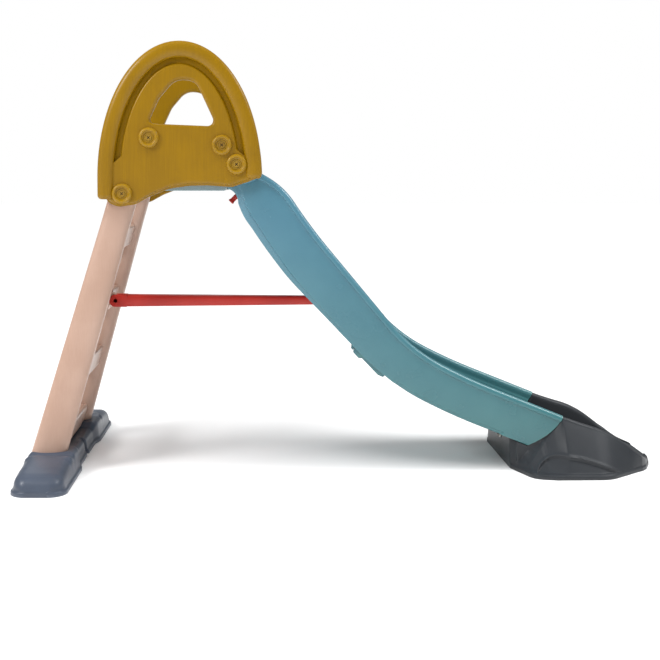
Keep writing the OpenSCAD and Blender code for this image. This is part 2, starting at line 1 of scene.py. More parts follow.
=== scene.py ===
import json
import bmesh
import bpy
import numpy as np
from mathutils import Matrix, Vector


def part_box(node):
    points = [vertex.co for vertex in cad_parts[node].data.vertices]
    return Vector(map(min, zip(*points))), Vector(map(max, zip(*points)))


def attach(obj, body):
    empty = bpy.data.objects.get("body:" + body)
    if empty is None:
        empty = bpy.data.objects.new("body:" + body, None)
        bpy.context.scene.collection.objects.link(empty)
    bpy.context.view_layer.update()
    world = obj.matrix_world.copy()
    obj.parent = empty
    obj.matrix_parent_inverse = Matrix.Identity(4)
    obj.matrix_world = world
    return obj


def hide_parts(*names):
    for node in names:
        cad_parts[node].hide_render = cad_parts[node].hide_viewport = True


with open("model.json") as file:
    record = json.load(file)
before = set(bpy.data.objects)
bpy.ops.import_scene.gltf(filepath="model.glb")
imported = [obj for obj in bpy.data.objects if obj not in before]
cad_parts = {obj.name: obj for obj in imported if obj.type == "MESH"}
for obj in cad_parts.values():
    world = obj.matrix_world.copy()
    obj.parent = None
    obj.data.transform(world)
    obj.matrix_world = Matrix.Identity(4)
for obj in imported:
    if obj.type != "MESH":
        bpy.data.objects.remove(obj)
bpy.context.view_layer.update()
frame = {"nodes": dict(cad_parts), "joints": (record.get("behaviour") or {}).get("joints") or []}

# The studio: a seamless white floor under a wide, soft overhead light that leans a little from the front.
# Two softboxes, up on the ladder's side and up on the chute's side, draw the highlights along the rounded
# edges, and a weak one behind lifts the far side.
FLOOR_HALF = 30.0
CAMERA_PLACE = (-0.2004, -2.6679, 0.7269)
CAMERA_PITCH = 0.055
CAMERA_YAW = 0.0056
CAMERA_LENS = 55.18
CAMERA_SHIFT = (0.09, -0.14)
OVERHEAD_STRENGTH = 2.8
OVERHEAD_SPREAD = 55.0
OVERHEAD_LEAN = 12.0
LIGHTS = {
    "ladder_side_softbox": ((-2.7, -1.7, 2.5), (-0.3, 0.0, 0.6), 1.1, 54),
    "chute_side_softbox": ((2.5, -0.3, 2.9), (0.1, 0.0, 0.4), 1.3, 40),
    "back_light": ((-0.8, 3.0, 2.4), (0.1, 0.0, 0.4), 1.8, 10),
}


def linear(red, green, blue):
    """A display colour from 0 to 255 as linear light: ((c + 0.055) / 1.055) to the power 2.4."""
    c = np.array([red, green, blue]) / 255
    return (*np.where(c > 0.04045, ((c + 0.055) / 1.055) ** 2.4, c / 12.92), 1.0)


def wire(tree, source, target):
    """Joins an output socket to an input socket."""
    tree.links.new(source, target)


scene = bpy.context.scene
scene.view_settings.view_transform = "Standard"
surround = bpy.data.worlds.new("white_surround")
surround.use_nodes = True
scene.world = surround
background = surround.node_tree.nodes["Background"]
seen_by = surround.node_tree.nodes.new("ShaderNodeLightPath")
brightness = surround.node_tree.nodes.new("ShaderNodeMapRange")
brightness.inputs["To Min"].default_value = 0.25
brightness.inputs["To Max"].default_value = 1.0
wire(surround.node_tree, seen_by.outputs["Is Camera Ray"], brightness.inputs["Value"])
wire(surround.node_tree, brightness.outputs["Result"], background.inputs["Strength"])
background.inputs["Color"].default_value = (1.0, 1.0, 1.0, 1.0)

floor_paint = bpy.data.materials.new("floor_white")
floor_paint.use_nodes = True
floor_shader = floor_paint.node_tree.nodes["Principled BSDF"]
floor_shader.inputs["Base Color"].default_value = (0.93, 0.93, 0.93, 1.0)
floor_shader.inputs["Roughness"].default_value = 1.0
floor_shader.inputs["Specular IOR Level"].default_value = 0.0
floor_mesh = bpy.data.meshes.new("floor")
corner = np.array([[-1, -1, 0], [1, -1, 0], [1, 1, 0], [-1, 1, 0]]) * FLOOR_HALF
floor_mesh.from_pydata(corner.tolist(), [], [(0, 1, 2, 3)])
floor = bpy.data.objects.new("floor", floor_mesh)
floor_mesh.materials.append(floor_paint)
scene.collection.objects.link(floor)

for name, (place, target, size, power) in LIGHTS.items():
    lamp = bpy.data.lights.new(name, "AREA")
    lamp.shape = "DISK"
    lamp.size = size
    lamp.energy = power
    light = bpy.data.objects.new(name, lamp)
    scene.collection.objects.link(light)
    light.location = place
    aim = Vector(target) - Vector(place)
    light.rotation_euler = aim.to_track_quat("-Z", "Y").to_euler()

overhead = bpy.data.lights.new("overhead_soft", "SUN")
overhead.energy = OVERHEAD_STRENGTH
overhead.angle = np.radians(OVERHEAD_SPREAD)
overhead_light = bpy.data.objects.new("overhead_soft", overhead)
scene.collection.objects.link(overhead_light)
overhead_light.rotation_euler = (np.radians(OVERHEAD_LEAN), 0.0, 0.0)
overhead_light.visible_glossy = False

camera_data = bpy.data.cameras.new("camera")
camera = bpy.data.objects.new("camera", camera_data)
scene.collection.objects.link(camera)
scene.camera = camera
camera.location = CAMERA_PLACE
camera.rotation_euler = (np.pi / 2 - CAMERA_PITCH, 0.0, -CAMERA_YAW)
camera_data.lens = CAMERA_LENS
camera_data.shift_x, camera_data.shift_y = CAMERA_SHIFT

# Handrail panels: blow-moulded mustard polyethylene, a flat web with a hand opening and a pipe-like bead
# round the arch. The two are mirror images, and bolts in round cups hold them to the ladder, the deck and
# the chute.
panel_low, panel_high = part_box("side_panel_far")
ARCH_RX = (panel_high.x - panel_low.x) / 2
ARCH_RZ = 0.336
BEAD_W = 0.040
BEAD_END = 0.010
GROOVE_W = 0.012
WEB_Y = panel_low.y + 0.020
GROOVE_Y = panel_low.y + 0.009
arch_x = (panel_high.x + panel_low.x) / 2
arch_z = panel_high.z - ARCH_RZ
PIVOT = np.array(next(j["pos_m"] for j in frame["joints"] if j["name"] == "ladder_fold"))


def rounded_outline(corners, radii, spacing=0.005, arc_points=8):
    """A closed outline: each corner is cut back to its two tangent points and replaced by an arc, and
    straight runs are divided into equal parts no longer than spacing."""
    corners = np.asarray(corners, float)
    radii = np.broadcast_to(radii, len(corners))
    parts = []
    for before, here, after, radius in zip(np.roll(corners, 1, 0), corners, np.roll(corners, -1, 0), radii):
        u = (before - here) / np.linalg.norm(before - here)
        v = (after - here) / np.linalg.norm(after - here)
        half = np.arccos(np.clip(u @ v, -1, 1)) / 2
        shortest = min(np.linalg.norm(before - here), np.linalg.norm(after - here))
        reach = min(radius / np.tan(half), 0.48 * shortest)
        if reach < 1e-5:
            parts.append(here[None])
            continue
        middle = here + (u + v) / np.linalg.norm(u + v) * reach / np.cos(half)
        first = np.arctan2(*(here + u * reach - middle)[::-1])
        last = np.arctan2(*(here + v * reach - middle)[::-1])
        turn = (last - first + np.pi) % (2 * np.pi) - np.pi
        angle = first + np.linspace(0, 1, arc_points) * turn
        parts.append(middle + reach * np.tan(half) * np.stack([np.cos(angle), np.sin(angle)], 1))
    loop = np.concatenate(parts)
    ahead = np.roll(loop, -1, 0)
    counts = np.maximum(1, np.ceil(np.linalg.norm(ahead - loop, axis=1) / spacing).astype(int))
    owner = np.repeat(np.arange(len(loop)), counts)
    share = (np.arange(len(owner)) - np.repeat(np.cumsum(counts) - counts, counts)) / counts[owner]
    return loop[owner] + share[:, None] * (ahead[owner] - loop[owner])


def grid_faces(rows, columns, wrap_rows=False, wrap_columns=False):
    """Quads over a grid of points numbered row by row; a wrapped side also joins its last line to its
    first."""
    i, j = np.meshgrid(np.arange(rows - (not wrap_rows)), np.arange(columns - (not wrap_columns)),
                       indexing="ij")
    i, j = i.ravel(), j.ravel()
    up, on = (i + 1) % rows, (j + 1) % columns
    return np.stack([i * columns + j, up * columns + j, up * columns + on, i * columns + on], 1)


def closed_grid(points):
    """A grid wrapped both ways, like a tyre."""
    rows, columns = points.shape[:2]
    return points.reshape(-1, 3), grid_faces(rows, columns, True, True)


def tube(points):
    """Rings of points along a path, each ring closed, with both ends gathered to their middles."""
    first = np.repeat(points[:1].mean(1, keepdims=True), points.shape[1], 1)
    last = np.repeat(points[-1:].mean(1, keepdims=True), points.shape[1], 1)
    points = np.concatenate([first, points, last])
    return points.reshape(-1, 3), grid_faces(*points.shape[:2], wrap_columns=True)


def shell(top, under):
    """Two grids of the same size, one a wall's thickness from the other, joined all round their edges."""
    rows, columns = top.shape[:2]
    faces = grid_faces(rows, columns)
    count = rows * columns
    number = np.arange(count).reshape(rows, columns)
    edge = np.concatenate([number[0, :-1], number[:-1, -1], number[-1, :0:-1], number[:0:-1, 0]])
    ahead = np.roll(edge, -1)
    rim = np.stack([edge, ahead, ahead + count, edge + count], 1)
    points = np.concatenate([top.reshape(-1, 3), under.reshape(-1, 3)])
    return points, np.concatenate([faces, faces[:, ::-1] + count, rim])


def plate(outline, y0, y1, edge=0.002, steps=5):
    """An XZ outline given thickness along Y; toward each face it draws in by edge (1 - cos a) as a goes
    to 90 degrees, which rounds the rims."""
    ahead = np.roll(outline, -1, 0) - np.roll(outline, 1, 0)
    inward = np.stack([-ahead[:, 1], ahead[:, 0]], 1) / np.linalg.norm(ahead, axis=1)[:, None]
    area = np.sum(outline[:, 0] * np.roll(outline[:, 1], -1) - np.roll(outline[:, 0], -1) * outline[:, 1])
    inward = inward * np.sign(area)
    a = np.linspace(0, np.pi / 2, steps)
    inset = np.concatenate([edge * (1 - np.sin(a)), edge * (1 - np.cos(a))])
    level = np.concatenate([y0 + edge * (1 - np.cos(a)), y1 - edge * (1 - np.sin(a))])
    ring = outline[None] + inset[:, None, None] * inward[None]
    grid = np.stack([ring[..., 0], np.broadcast_to(level[:, None], ring.shape[:2]), ring[..., 1]], -1)
    columns = len(outline)
    faces = grid_faces(len(level), columns, wrap_columns=True).tolist()
    faces.append(list(range(columns)))
    faces.append(list(range(len(level) * columns - 1, (len(level) - 1) * columns - 1, -1)))
    return grid.reshape(-1, 3), faces


def lathe(profile, centre, axis, turns=64):
    """A profile of (radius, distance along the axis) turned once round the axis through centre."""
    axis = np.asarray(axis, float) / np.linalg.norm(axis)
    side = np.cross(axis, [0.0, 1.0, 0.0] if abs(axis[1]) < 0.9 else [1.0, 0.0, 0.0])
    side = side / np.linalg.norm(side)
    other = np.cross(axis, side)
    a = np.linspace(0, 2 * np.pi, turns, endpoint=False)
    spokes = np.cos(a)[:, None] * side + np.sin(a)[:, None] * other
    profile = np.asarray(profile)
    rings = centre + profile[:, 1, None, None] * axis + profile[:, 0, None, None] * spokes[None]
    return tube(rings)


def mirrored(surface):
    """The same surface on the other side of the slide's middle plane."""
    points, faces = surface
    return points * [1, -1, 1], [face[::-1] for face in faces]


def add_piece(name, surfaces, material, body, nodes, sharp=38):
    """One object from closed surfaces: points that coincide are merged, each shell's faces are turned
    outward, and edges that bend by more than sharp degrees stay crisp."""
    points, faces, start = [], [], 0
    for surface_points, surface_faces in surfaces:
        points.append(surface_points)
        faces += [[int(corner) + start for corner in face] for face in surface_faces]
        start += len(surface_points)
    mesh = bpy.data.meshes.new(name)
    mesh.from_pydata(np.concatenate(points).tolist(), [], faces)
    work = bmesh.new()
    work.from_mesh(mesh)
    bmesh.ops.remove_doubles(work, verts=work.verts, dist=2e-6)
    bmesh.ops.dissolve_degenerate(work, edges=work.edges, dist=1e-6)
    bmesh.ops.recalc_face_normals(work, faces=work.faces)
    work.to_mesh(mesh)
    work.free()
    mesh.shade_smooth()
    mesh.set_sharp_from_angle(angle=np.radians(sharp))
    mesh.materials.append(material)
    item = bpy.data.objects.new(name, mesh)
    scene.collection.objects.link(item)
    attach(item, body)
    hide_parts(*nodes)
    return item


def new_group(name, inputs, outputs):
    """An empty shader node group with named number inputs (with defaults) and named outputs."""
    group = bpy.data.node_groups.new(name, "ShaderNodeTree")
    for label, default in inputs.items():
        socket = group.interface.new_socket(label, in_out="INPUT", socket_type="NodeSocketFloat")
        socket.default_value = default
    for label in outputs:
        group.interface.new_socket(label, in_out="OUTPUT", socket_type="NodeSocketFloat")
    return group, group.nodes.new("NodeGroupInput"), group.nodes.new("NodeGroupOutput")


def add_node(tree, kind, settings=None, **values):
    """A node with its properties and the plain values of its inputs set."""
    node = tree.nodes.new(kind)
    for label, value in (settings or {}).items():
        setattr(node, label, value)
    for label, value in values.items():
        node.inputs[label.replace("_", " ")].default_value = value
    return node


def noise(tree, place, scale, detail=2.0, roughness=0.5):
    """A noise texture at that scale on the given coordinates."""
    node = add_node(tree, "ShaderNodeTexNoise", Scale=scale, Detail=detail, Roughness=roughness)
    wire(tree, place, node.inputs["Vector"])
    return node.outputs["Fac"]


def remap(tree, value, start, end, low=0.0, high=1.0):
    """A value read from start to end, given out from low to high and held at both."""
    band = add_node(tree, "ShaderNodeMapRange", From_Min=start, From_Max=end, To_Min=low, To_Max=high)
    wire(tree, value, band.inputs["Value"])
    return band.outputs["Result"]


def times(tree, first, second):
    """The product of two node values."""
    product = add_node(tree, "ShaderNodeMath", {"operation": "MULTIPLY"})
    wire(tree, first, product.inputs[0])
    wire(tree, second, product.inputs[1])
    return product.outputs["Value"]


def tint(tree, amount, under, over, way="MIX"):
    """The colour of one node with a plain colour mixed in by an amount."""
    mix = add_node(tree, "ShaderNodeMix", {"data_type": "RGBA", "blend_type": way})
    wire(tree, amount, mix.inputs["Factor"])
    wire(tree, under, mix.inputs["A"])
    mix.inputs["B"].default_value = over
    return mix.outputs["Result"]


# Moulded grain: fine pebbles of the mould's surface, long soft draw marks along Z, and a slow mottle.
grain, grain_in, grain_out = new_group(
    "moulded_grain", {"Pebbles": 700.0, "Draw marks": 0.5}, ["Height", "Mottle"])
place = grain.nodes.new("ShaderNodeTexCoord").outputs["Object"]
drawn = add_node(grain, "ShaderNodeMapping", Scale=(1.0, 1.0, 0.035))
wire(grain, place, drawn.inputs["Vector"])
pebbles = add_node(grain, "ShaderNodeTexNoise", Detail=3.0)
wire(grain, place, pebbles.inputs["Vector"])
wire(grain, grain_in.outputs["Pebbles"], pebbles.inputs["Scale"])
marks = noise(grain, drawn.outputs["Vector"], 420.0, 3.0)
height = add_node(grain, "ShaderNodeMix")
wire(grain, grain_in.outputs["Draw marks"], height.inputs["Factor"])
wire(grain, pebbles.outputs["Fac"], height.inputs["A"])
wire(grain, marks, height.inputs["B"])
wire(grain, height.outputs["Result"], grain_out.inputs["Height"])
slow = noise(grain, place, 9.0, 4.0)
centred = add_node(grain, "ShaderNodeMath", {"operation": "SUBTRACT"})
wire(grain, marks, centred.inputs[0])
centred.inputs[1].default_value = 0.5
mottle = add_node(grain, "ShaderNodeMath", {"operation": "MULTIPLY_ADD"})
wire(grain, centred.outputs["Value"], mottle.inputs[0])
wire(grain, grain_in.outputs["Draw marks"], mottle.inputs[1])
wire(grain, slow, mottle.inputs[2])
wire(grain, mottle.outputs["Value"], grain_out.inputs["Mottle"])

# Wear and painted shade: paler edges where hands and shoes rub, and painted shade darkening the hollows.
wear_and_shade, wear_shade_in, wear_shade_out = new_group("rubbed_edges", {"Edge": 0.5, "Hollow": 0.5}, ["Edges", "Hollows"])
shape = wear_and_shade.nodes.new("ShaderNodeNewGeometry").outputs["Pointiness"]
patchy = noise(wear_and_shade, wear_and_shade.nodes.new("ShaderNodeTexCoord").outputs["Object"], 60.0, 4.0, 0.6)
# Convex edges take the paler rubbed tone; concave hollows take painted shade.
for label, start, end, output in (("Edge", 0.52, 0.62, "Edges"), ("Hollow", 0.48, 0.38, "Hollows")):
    broken = times(wear_and_shade, remap(wear_and_shade, shape, start, end), patchy)
    wire(wear_and_shade, times(wear_and_shade, broken, wear_shade_in.outputs[label]), wear_shade_out.inputs[output])


# The painted shade in hollows is the deeper tone times this share.
HOLLOW_SHADE_DEPTH = 0.62
# Heights between which the low tint, painted light, fades in toward the floor.
LOW_PAINTED_LIGHT_TOP = 0.62
LOW_PAINTED_LIGHT_FULL = 0.12


def moulded(name, colour, deeper, rubbed, rough, pebbles=700.0, drawn=0.4, bump=0.05, edge=0.9, hollow=0.7,
            metal=0.0, coat=0.0, shine=0.3, low=None):
    """A moulded plastic: two close tones mixed by the mottle, a paler tone on rubbed edges, painted shade
    in the hollows (a darker copy of the deeper tone), roughness that varies between two values with the
    grain, and the grain's height as bump. A low tint multiplies the tone toward the floor: painted light,
    the light's colour turning greener and darker low down."""
    material = bpy.data.materials.new(name)
    material.use_nodes = True
    tree = material.node_tree
    shader = tree.nodes["Principled BSDF"]
    shader.inputs["Metallic"].default_value = metal
    shader.inputs["Coat Weight"].default_value = coat
    shader.inputs["Coat Roughness"].default_value = 0.28
    shader.inputs["Specular IOR Level"].default_value = shine
    surface = add_node(tree, "ShaderNodeGroup", {"node_tree": grain}, Pebbles=pebbles, Draw_marks=drawn)
    rub_and_shade = add_node(tree, "ShaderNodeGroup", {"node_tree": wear_and_shade}, Edge=edge, Hollow=hollow)
    tone = add_node(tree, "ShaderNodeMix", {"data_type": "RGBA"})
    wire(tree, remap(tree, surface.outputs["Mottle"], 0.35, 0.65), tone.inputs["Factor"])
    tone.inputs["A"].default_value = linear(*colour)
    tone.inputs["B"].default_value = linear(*deeper)
    worn = tint(tree, rub_and_shade.outputs["Edges"], tone.outputs["Result"], linear(*rubbed))
    # Painted shade: hollows are mixed toward a darker copy of the deeper tone.
    finish = tint(tree, rub_and_shade.outputs["Hollows"], worn, linear(*[c * HOLLOW_SHADE_DEPTH for c in deeper]))
    # Painted light: the low tint stands in for the light's colour, multiplying the tone greener and darker
    # toward the floor.
    if low:
        place = tree.nodes.new("ShaderNodeTexCoord").outputs["Object"]
        split = tree.nodes.new("ShaderNodeSeparateXYZ")
        wire(tree, place, split.inputs["Vector"])
        finish = tint(tree, remap(tree, split.outputs["Z"], LOW_PAINTED_LIGHT_TOP, LOW_PAINTED_LIGHT_FULL), finish, (*low, 1.0),
                      "MULTIPLY")
    wire(tree, finish, shader.inputs["Base Color"])
    wire(tree, remap(tree, surface.outputs["Mottle"], 0.3, 0.7, *rough), shader.inputs["Roughness"])
    relief = add_node(tree, "ShaderNodeBump", Strength=bump, Distance=0.001)
    wire(tree, surface.outputs["Height"], relief.inputs["Height"])
    wire(tree, relief.outputs["Normal"], shader.inputs["Normal"])
    return material


mustard = moulded("mustard_satin", (153, 114, 1), (143, 106, 1), (182, 143, 34), (0.34, 0.46), drawn=0.75,
                  bump=0.22, edge=0.45, shine=0.2, coat=0.3)
panel_eye = np.array([arch_x + 0.005, arch_z + 0.160])


def ellipse(shrink, first=0.0, last=np.pi, count=181, drop=0.0):
    """Points of the arch's ellipse drawn in by shrink: (rx cos a, rz sin a), the crown lowered by drop."""
    a = np.linspace(first, last, count)
    return np.stack([arch_x + (ARCH_RX - shrink) * np.cos(a),
                     arch_z + (ARCH_RZ - shrink - drop) * np.sin(a)], 1)


def reach_from_eye(curve, angle):
    """How far a closed curve lies from the hand opening's middle in each direction."""
    offset = curve - panel_eye
    direction = np.arctan2(offset[:, 1], offset[:, 0])
    order = np.argsort(direction)
    return np.interp(angle, direction[order], np.linalg.norm(offset, axis=1)[order], period=2 * np.pi)


HAND_CORNERS = np.array([[-0.078, 0.135], [-0.050, 0.196], [-0.009, 0.244], [0.040, 0.238], [0.091, 0.128]])
HAND_RADII = [0.011, 0.060, 0.050, 0.034, 0.014]
LOWER_EDGE = np.array([[-0.047, 0.004], [-0.037, -0.022], [-0.012, -0.033], [0.031, -0.027], [0.067, -0.007],
                       [0.115, 0.012], [0.162, 0.019], [0.209, 0.020], [0.270, 0.016], [0.312, 0.030]])
LOWER_RADII = [0.010, 0.022, 0.030, 0.040, 0.060, 0.080, 0.080, 0.060, 0.020, 0.012]


def panel_web():
    """The web as a ring round the hand opening: round it goes the direction from the opening's middle,
    across it a closed section runs over the lip, the raised field, the groove under the bead, the
    edge and the flat back."""
    outline = rounded_outline(np.concatenate([ellipse(0.014), LOWER_EDGE + PIVOT[[0, 2]]]),
                              [0.0] * 181 + LOWER_RADII)
    outer_offset = outline - panel_eye
    angle = np.arctan2(outer_offset[:, 1], outer_offset[:, 0])
    outer = np.linalg.norm(outer_offset, axis=1)
    hole = reach_from_eye(rounded_outline(HAND_CORNERS + [arch_x, arch_z], HAND_RADII, 0.003), angle)
    inner_arch = ellipse(BEAD_W + GROOVE_W + 0.004, 0, 2 * np.pi, 721, 0.0)
    field = reach_from_eye(inner_arch, angle)
    level = panel_eye[1] + field * np.sin(angle)
    grooved = np.clip((level - np.where(np.cos(angle) < 0, arch_z + 0.050, arch_z + 0.066)) / 0.004, 0, 1)
    grooved = grooved * grooved * (3 - 2 * grooved)
    field = outer - 0.006 + grooved * (np.minimum(field, outer - 0.006) - outer + 0.006)
    a = np.linspace(0, np.pi / 2, 7)
    lip, edge = 0.008, 0.005
    back = panel_low.y
    flat = np.array([0.03, 0.2, 0.4, 0.6, 0.8, 0.97])
    columns = [(hole + 0.004, back), (hole + 0.0012, back + 0.0012), (hole, back + 0.004),
               (hole, back + 0.008)]
    columns += [(hole + lip * (1 - np.cos(t)), WEB_Y - lip * (1 - np.sin(t))) for t in a]
    columns += [(hole + lip + f * (field - edge - hole - lip), WEB_Y) for f in flat]
    columns += [(field - edge + edge * np.sin(t), WEB_Y - edge * (1 - np.cos(t))) for t in a]
    columns += [(field + 0.0006, GROOVE_Y + 0.003), (field + 0.0018, GROOVE_Y + 0.001)]
    columns += [(field + 0.004, GROOVE_Y), (outer - 0.0012, GROOVE_Y), (outer - 0.0003, GROOVE_Y - 0.0005)]
    columns += [(outer, GROOVE_Y - 0.002), (outer, back + 0.002), (outer - 0.002, back)]
    columns += [(outer - 0.002 + f * (hole + 0.006 - outer), back) for f in (0.1, 0.35, 0.65, 0.9)]
    radius = np.stack([np.broadcast_to(c[0], angle.shape) for c in columns], 1)
    depth = np.broadcast_to([c[1] for c in columns], radius.shape)
    return closed_grid(np.stack([panel_eye[0] + radius * np.cos(angle)[:, None], depth,
                                 panel_eye[1] + radius * np.sin(angle)[:, None]], -1))


def panel_bead():
    """The bead: a rounded section carried along the arch and down the rear leg, drawn in at both ends."""
    middle = BEAD_W / 2
    arch_path = ellipse(middle, 0.0, np.pi, 241)
    leg = np.stack([np.full(12, arch_x - ARCH_RX + middle),
                    np.linspace(arch_z - 0.004, PIVOT[2] - 0.014, 12)], 1)
    path = np.concatenate([arch_path, leg])
    travelled = np.concatenate([[0], np.cumsum(np.linalg.norm(np.diff(path, axis=0), axis=1))])
    length = travelled[-1]
    ends = BEAD_END * (1 - np.cos(np.linspace(0, np.pi / 2, 9)))
    stops = np.concatenate([ends, np.linspace(BEAD_END, length - BEAD_END, 260)[1:-1], length - ends[::-1]])
    line = np.stack([np.interp(stops, travelled, path[:, k]) for k in (0, 1)], 1)
    ahead = np.gradient(line, axis=0)
    ahead /= np.linalg.norm(ahead, axis=1)[:, None]
    outward = np.stack([ahead[:, 1], -ahead[:, 0]], 1)
    close = np.clip(np.minimum(stops, length - stops) / BEAD_END, 0, 1)
    draw_in = BEAD_END * (1 - np.sqrt(np.clip(1 - (1 - close) ** 2, 0, 1)))
    a = np.linspace(0, 2 * np.pi, 40, endpoint=False)
    round_x = np.sign(np.cos(a)) * np.abs(np.cos(a)) ** 0.84
    round_y = np.sign(np.sin(a)) * np.abs(np.sin(a)) ** 0.84
    half_depth = (panel_high.y - panel_low.y) / 2
    across = (middle - draw_in)[:, None] * round_x
    depth = (panel_low.y + half_depth) + (half_depth - draw_in)[:, None] * round_y
    return tube(np.stack([line[:, :1] + across * outward[:, :1], depth,
                          line[:, 1:] + across * outward[:, 1:]], -1))


panel_surfaces = [panel_web(), panel_bead()]
add_piece("handrail_panel_far", panel_surfaces, mustard, "slide_frame", ["side_panel_far"])
add_piece("handrail_panel_near", [mirrored(s) for s in panel_surfaces], mustard, "slide_frame",
          ["side_panel_near"])

# Bolt cups: round mustard caps with a raised ring and a sunk seat, pressed on the panels. A cross-recess
# screw pulls each against a flanged nut inside.
CUP_PROFILE = np.array([
    [0.0, 0.0015], [0.0078, 0.0015], [0.0083, 0.0020], [0.0084, 0.0048], [0.0088, 0.0053], [0.0114, 0.0055],
    [0.0118, 0.0046], [0.0126, 0.0044], [0.0132, 0.0055], [0.0154, 0.0057], [0.0161, 0.0063],
    [0.0166, 0.0080],
    [0.0175, 0.0093], [0.0190, 0.0100], [0.0207, 0.0098], [0.0222, 0.0090], [0.0237, 0.0074],
    [0.0246, 0.0054],
    [0.0249, 0.0034], [0.0249, -0.0020], [0.0, -0.0020]])
cup_mustard = moulded("mustard_cup", (160, 121, 5), (150, 112, 2), (196, 160, 60), (0.30, 0.42), drawn=0.2,
                      bump=0.12, shine=0.3, coat=0.3)
for station in ("pivot", "rear", "front", "chute"):
    low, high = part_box(station + "_cups")
    cup = lathe(CUP_PROFILE, [(low.x + high.x) / 2, WEB_Y, (low.z + high.z) / 2], (0, 1, 0))
    add_piece(station + "_bolt_cups", [cup, mirrored(cup)], cup_mustard, "slide_frame",
              [station + "_cups"])


def refinish(material, *nodes):
    """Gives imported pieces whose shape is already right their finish."""
    for node in nodes:
        for material_slot in frame["nodes"][node].material_slots:
            material_slot.material = material


bolt_steel = moulded("yellow_zinc_steel", (176, 138, 46), (142, 106, 30), (214, 190, 130), (0.28, 0.46),
                     pebbles=1500.0, drawn=0.1, bump=0.08, edge=0.0, hollow=0.0, metal=0.25, shine=0.5)
bolt_tree = bolt_steel.node_tree
bolt_shader = bolt_tree.nodes["Principled BSDF"]
bolt_tone = bolt_shader.inputs["Base Color"].links[0].from_socket
# Painted shade: the screw head's cross recess, below its top face, is darkened toward dark brown in place of
# the shade inside it.
bolt_split = bolt_tree.nodes.new("ShaderNodeSeparateXYZ")
wire(bolt_tree, bolt_tree.nodes.new("ShaderNodeTexCoord").outputs["Object"], bolt_split.inputs["Vector"])
bolt_depth = add_node(bolt_tree, "ShaderNodeMath", {"operation": "ABSOLUTE"})
wire(bolt_tree, bolt_split.outputs["Y"], bolt_depth.inputs[0])
recess_shade_mask = add_node(bolt_tree, "ShaderNodeMapRange")
recess_shade_mask.inputs["From Min"].default_value = WEB_Y + 0.0064
recess_shade_mask.inputs["From Max"].default_value = WEB_Y + 0.0054
wire(bolt_tree, bolt_depth.outputs["Value"], recess_shade_mask.inputs["Value"])
recess_painted_shade = add_node(bolt_tree, "ShaderNodeMix", {"data_type": "RGBA"})
wire(bolt_tree, recess_shade_mask.outputs["Result"], recess_painted_shade.inputs["Factor"])
wire(bolt_tree, bolt_tone, recess_painted_shade.inputs["A"])
recess_painted_shade.inputs["B"].default_value = linear(48, 34, 14)
wire(bolt_tree, recess_painted_shade.outputs["Result"], bolt_shader.inputs["Base Color"])
plain_steel = moulded("zinc_steel", (176, 174, 168), (138, 136, 130), (220, 220, 216), (0.26, 0.42),
                      pebbles=1500.0, drawn=0.1, bump=0.08, edge=0.0, hollow=0.0, metal=0.9)
nut_mustard = moulded("mustard_nut", (180, 134, 24), (164, 118, 14), (210, 172, 70), (0.4, 0.52), edge=0.0,
                      hollow=0.0, bump=0.1)
refinish(bolt_steel, "pivot_screws", "rear_screws", "front_screws", "chute_screws")
refinish(plain_steel, "exit_screws", "foot_screws")
refinish(nut_mustard, "pivot_nuts", "rear_nuts", "front_nuts", "chute_nuts")

# Deck: a small grey-blue tray between the panels with ribs underfoot, and a tall cheek at each side that
# takes the two upper bolts.
deck_blue = moulded("deck_grey_blue", (140, 160, 164), (130, 150, 156), (180, 194, 196), (0.42, 0.55),
                    bump=0.14)
deck_low, deck_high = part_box("platform")
DECK_H = PIVOT[2] + 0.030
TREAD_RIB = 0.0012
deck_x = np.array([PIVOT[0] + 0.071, deck_high.x - 0.006])
cheek_y = deck_high.y


def deck_tray():
    """The tray: a closed section of rounded corners carried along Y; its top rises and falls as |sin|
    ribs."""
    top, under, edge = DECK_H - 0.002, DECK_H - 0.0225, 0.005
    run = np.linspace(deck_x[0] + edge, deck_x[1] - edge, 121)
    ribs = top - TREAD_RIB * (1 - np.abs(np.sin(np.pi * (run - run[0]) / 0.0145)) ** 0.5)
    a = np.linspace(0, np.pi / 2, 6)
    front = np.stack([deck_x[1] - edge + edge * np.sin(a), top - TREAD_RIB - edge * (1 - np.cos(a))], 1)[1:]
    section = np.concatenate([
        np.stack([run, ribs], 1), front,
        np.stack([deck_x[1] - edge * (1 - np.cos(a)), under + edge * (1 - np.sin(a))], 1),
        np.stack([deck_x[0] + edge * (1 - np.sin(a)), under + edge * (1 - np.cos(a))], 1),
        np.stack([deck_x[0] + edge * (1 - np.cos(a)), top - TREAD_RIB - edge * (1 - np.sin(a))], 1)[:-1]])
    across = np.linspace(-cheek_y + 0.002, cheek_y - 0.002, 9)
    return tube(np.stack([np.broadcast_to(section[:, 0], (9, len(section))),
                          np.repeat(across[:, None], len(section), 1),
                          np.broadcast_to(section[:, 1], (9, len(section)))], -1))


cheek_outline = rounded_outline(
    [[deck_low.x, deck_low.z], [deck_low.x - 0.001, DECK_H + 0.072], [deck_low.x, deck_high.z],
     [deck_high.x, deck_high.z], [deck_high.x, deck_low.z]], [0.010, 0.03, 0.030, 0.030, 0.010])
cheek = plate(cheek_outline, cheek_y - 0.007, cheek_y - 0.0003, 0.0025)
add_piece("deck", [deck_tray(), cheek, mirrored(cheek)], deck_blue, "slide_frame",
          ["platform"])

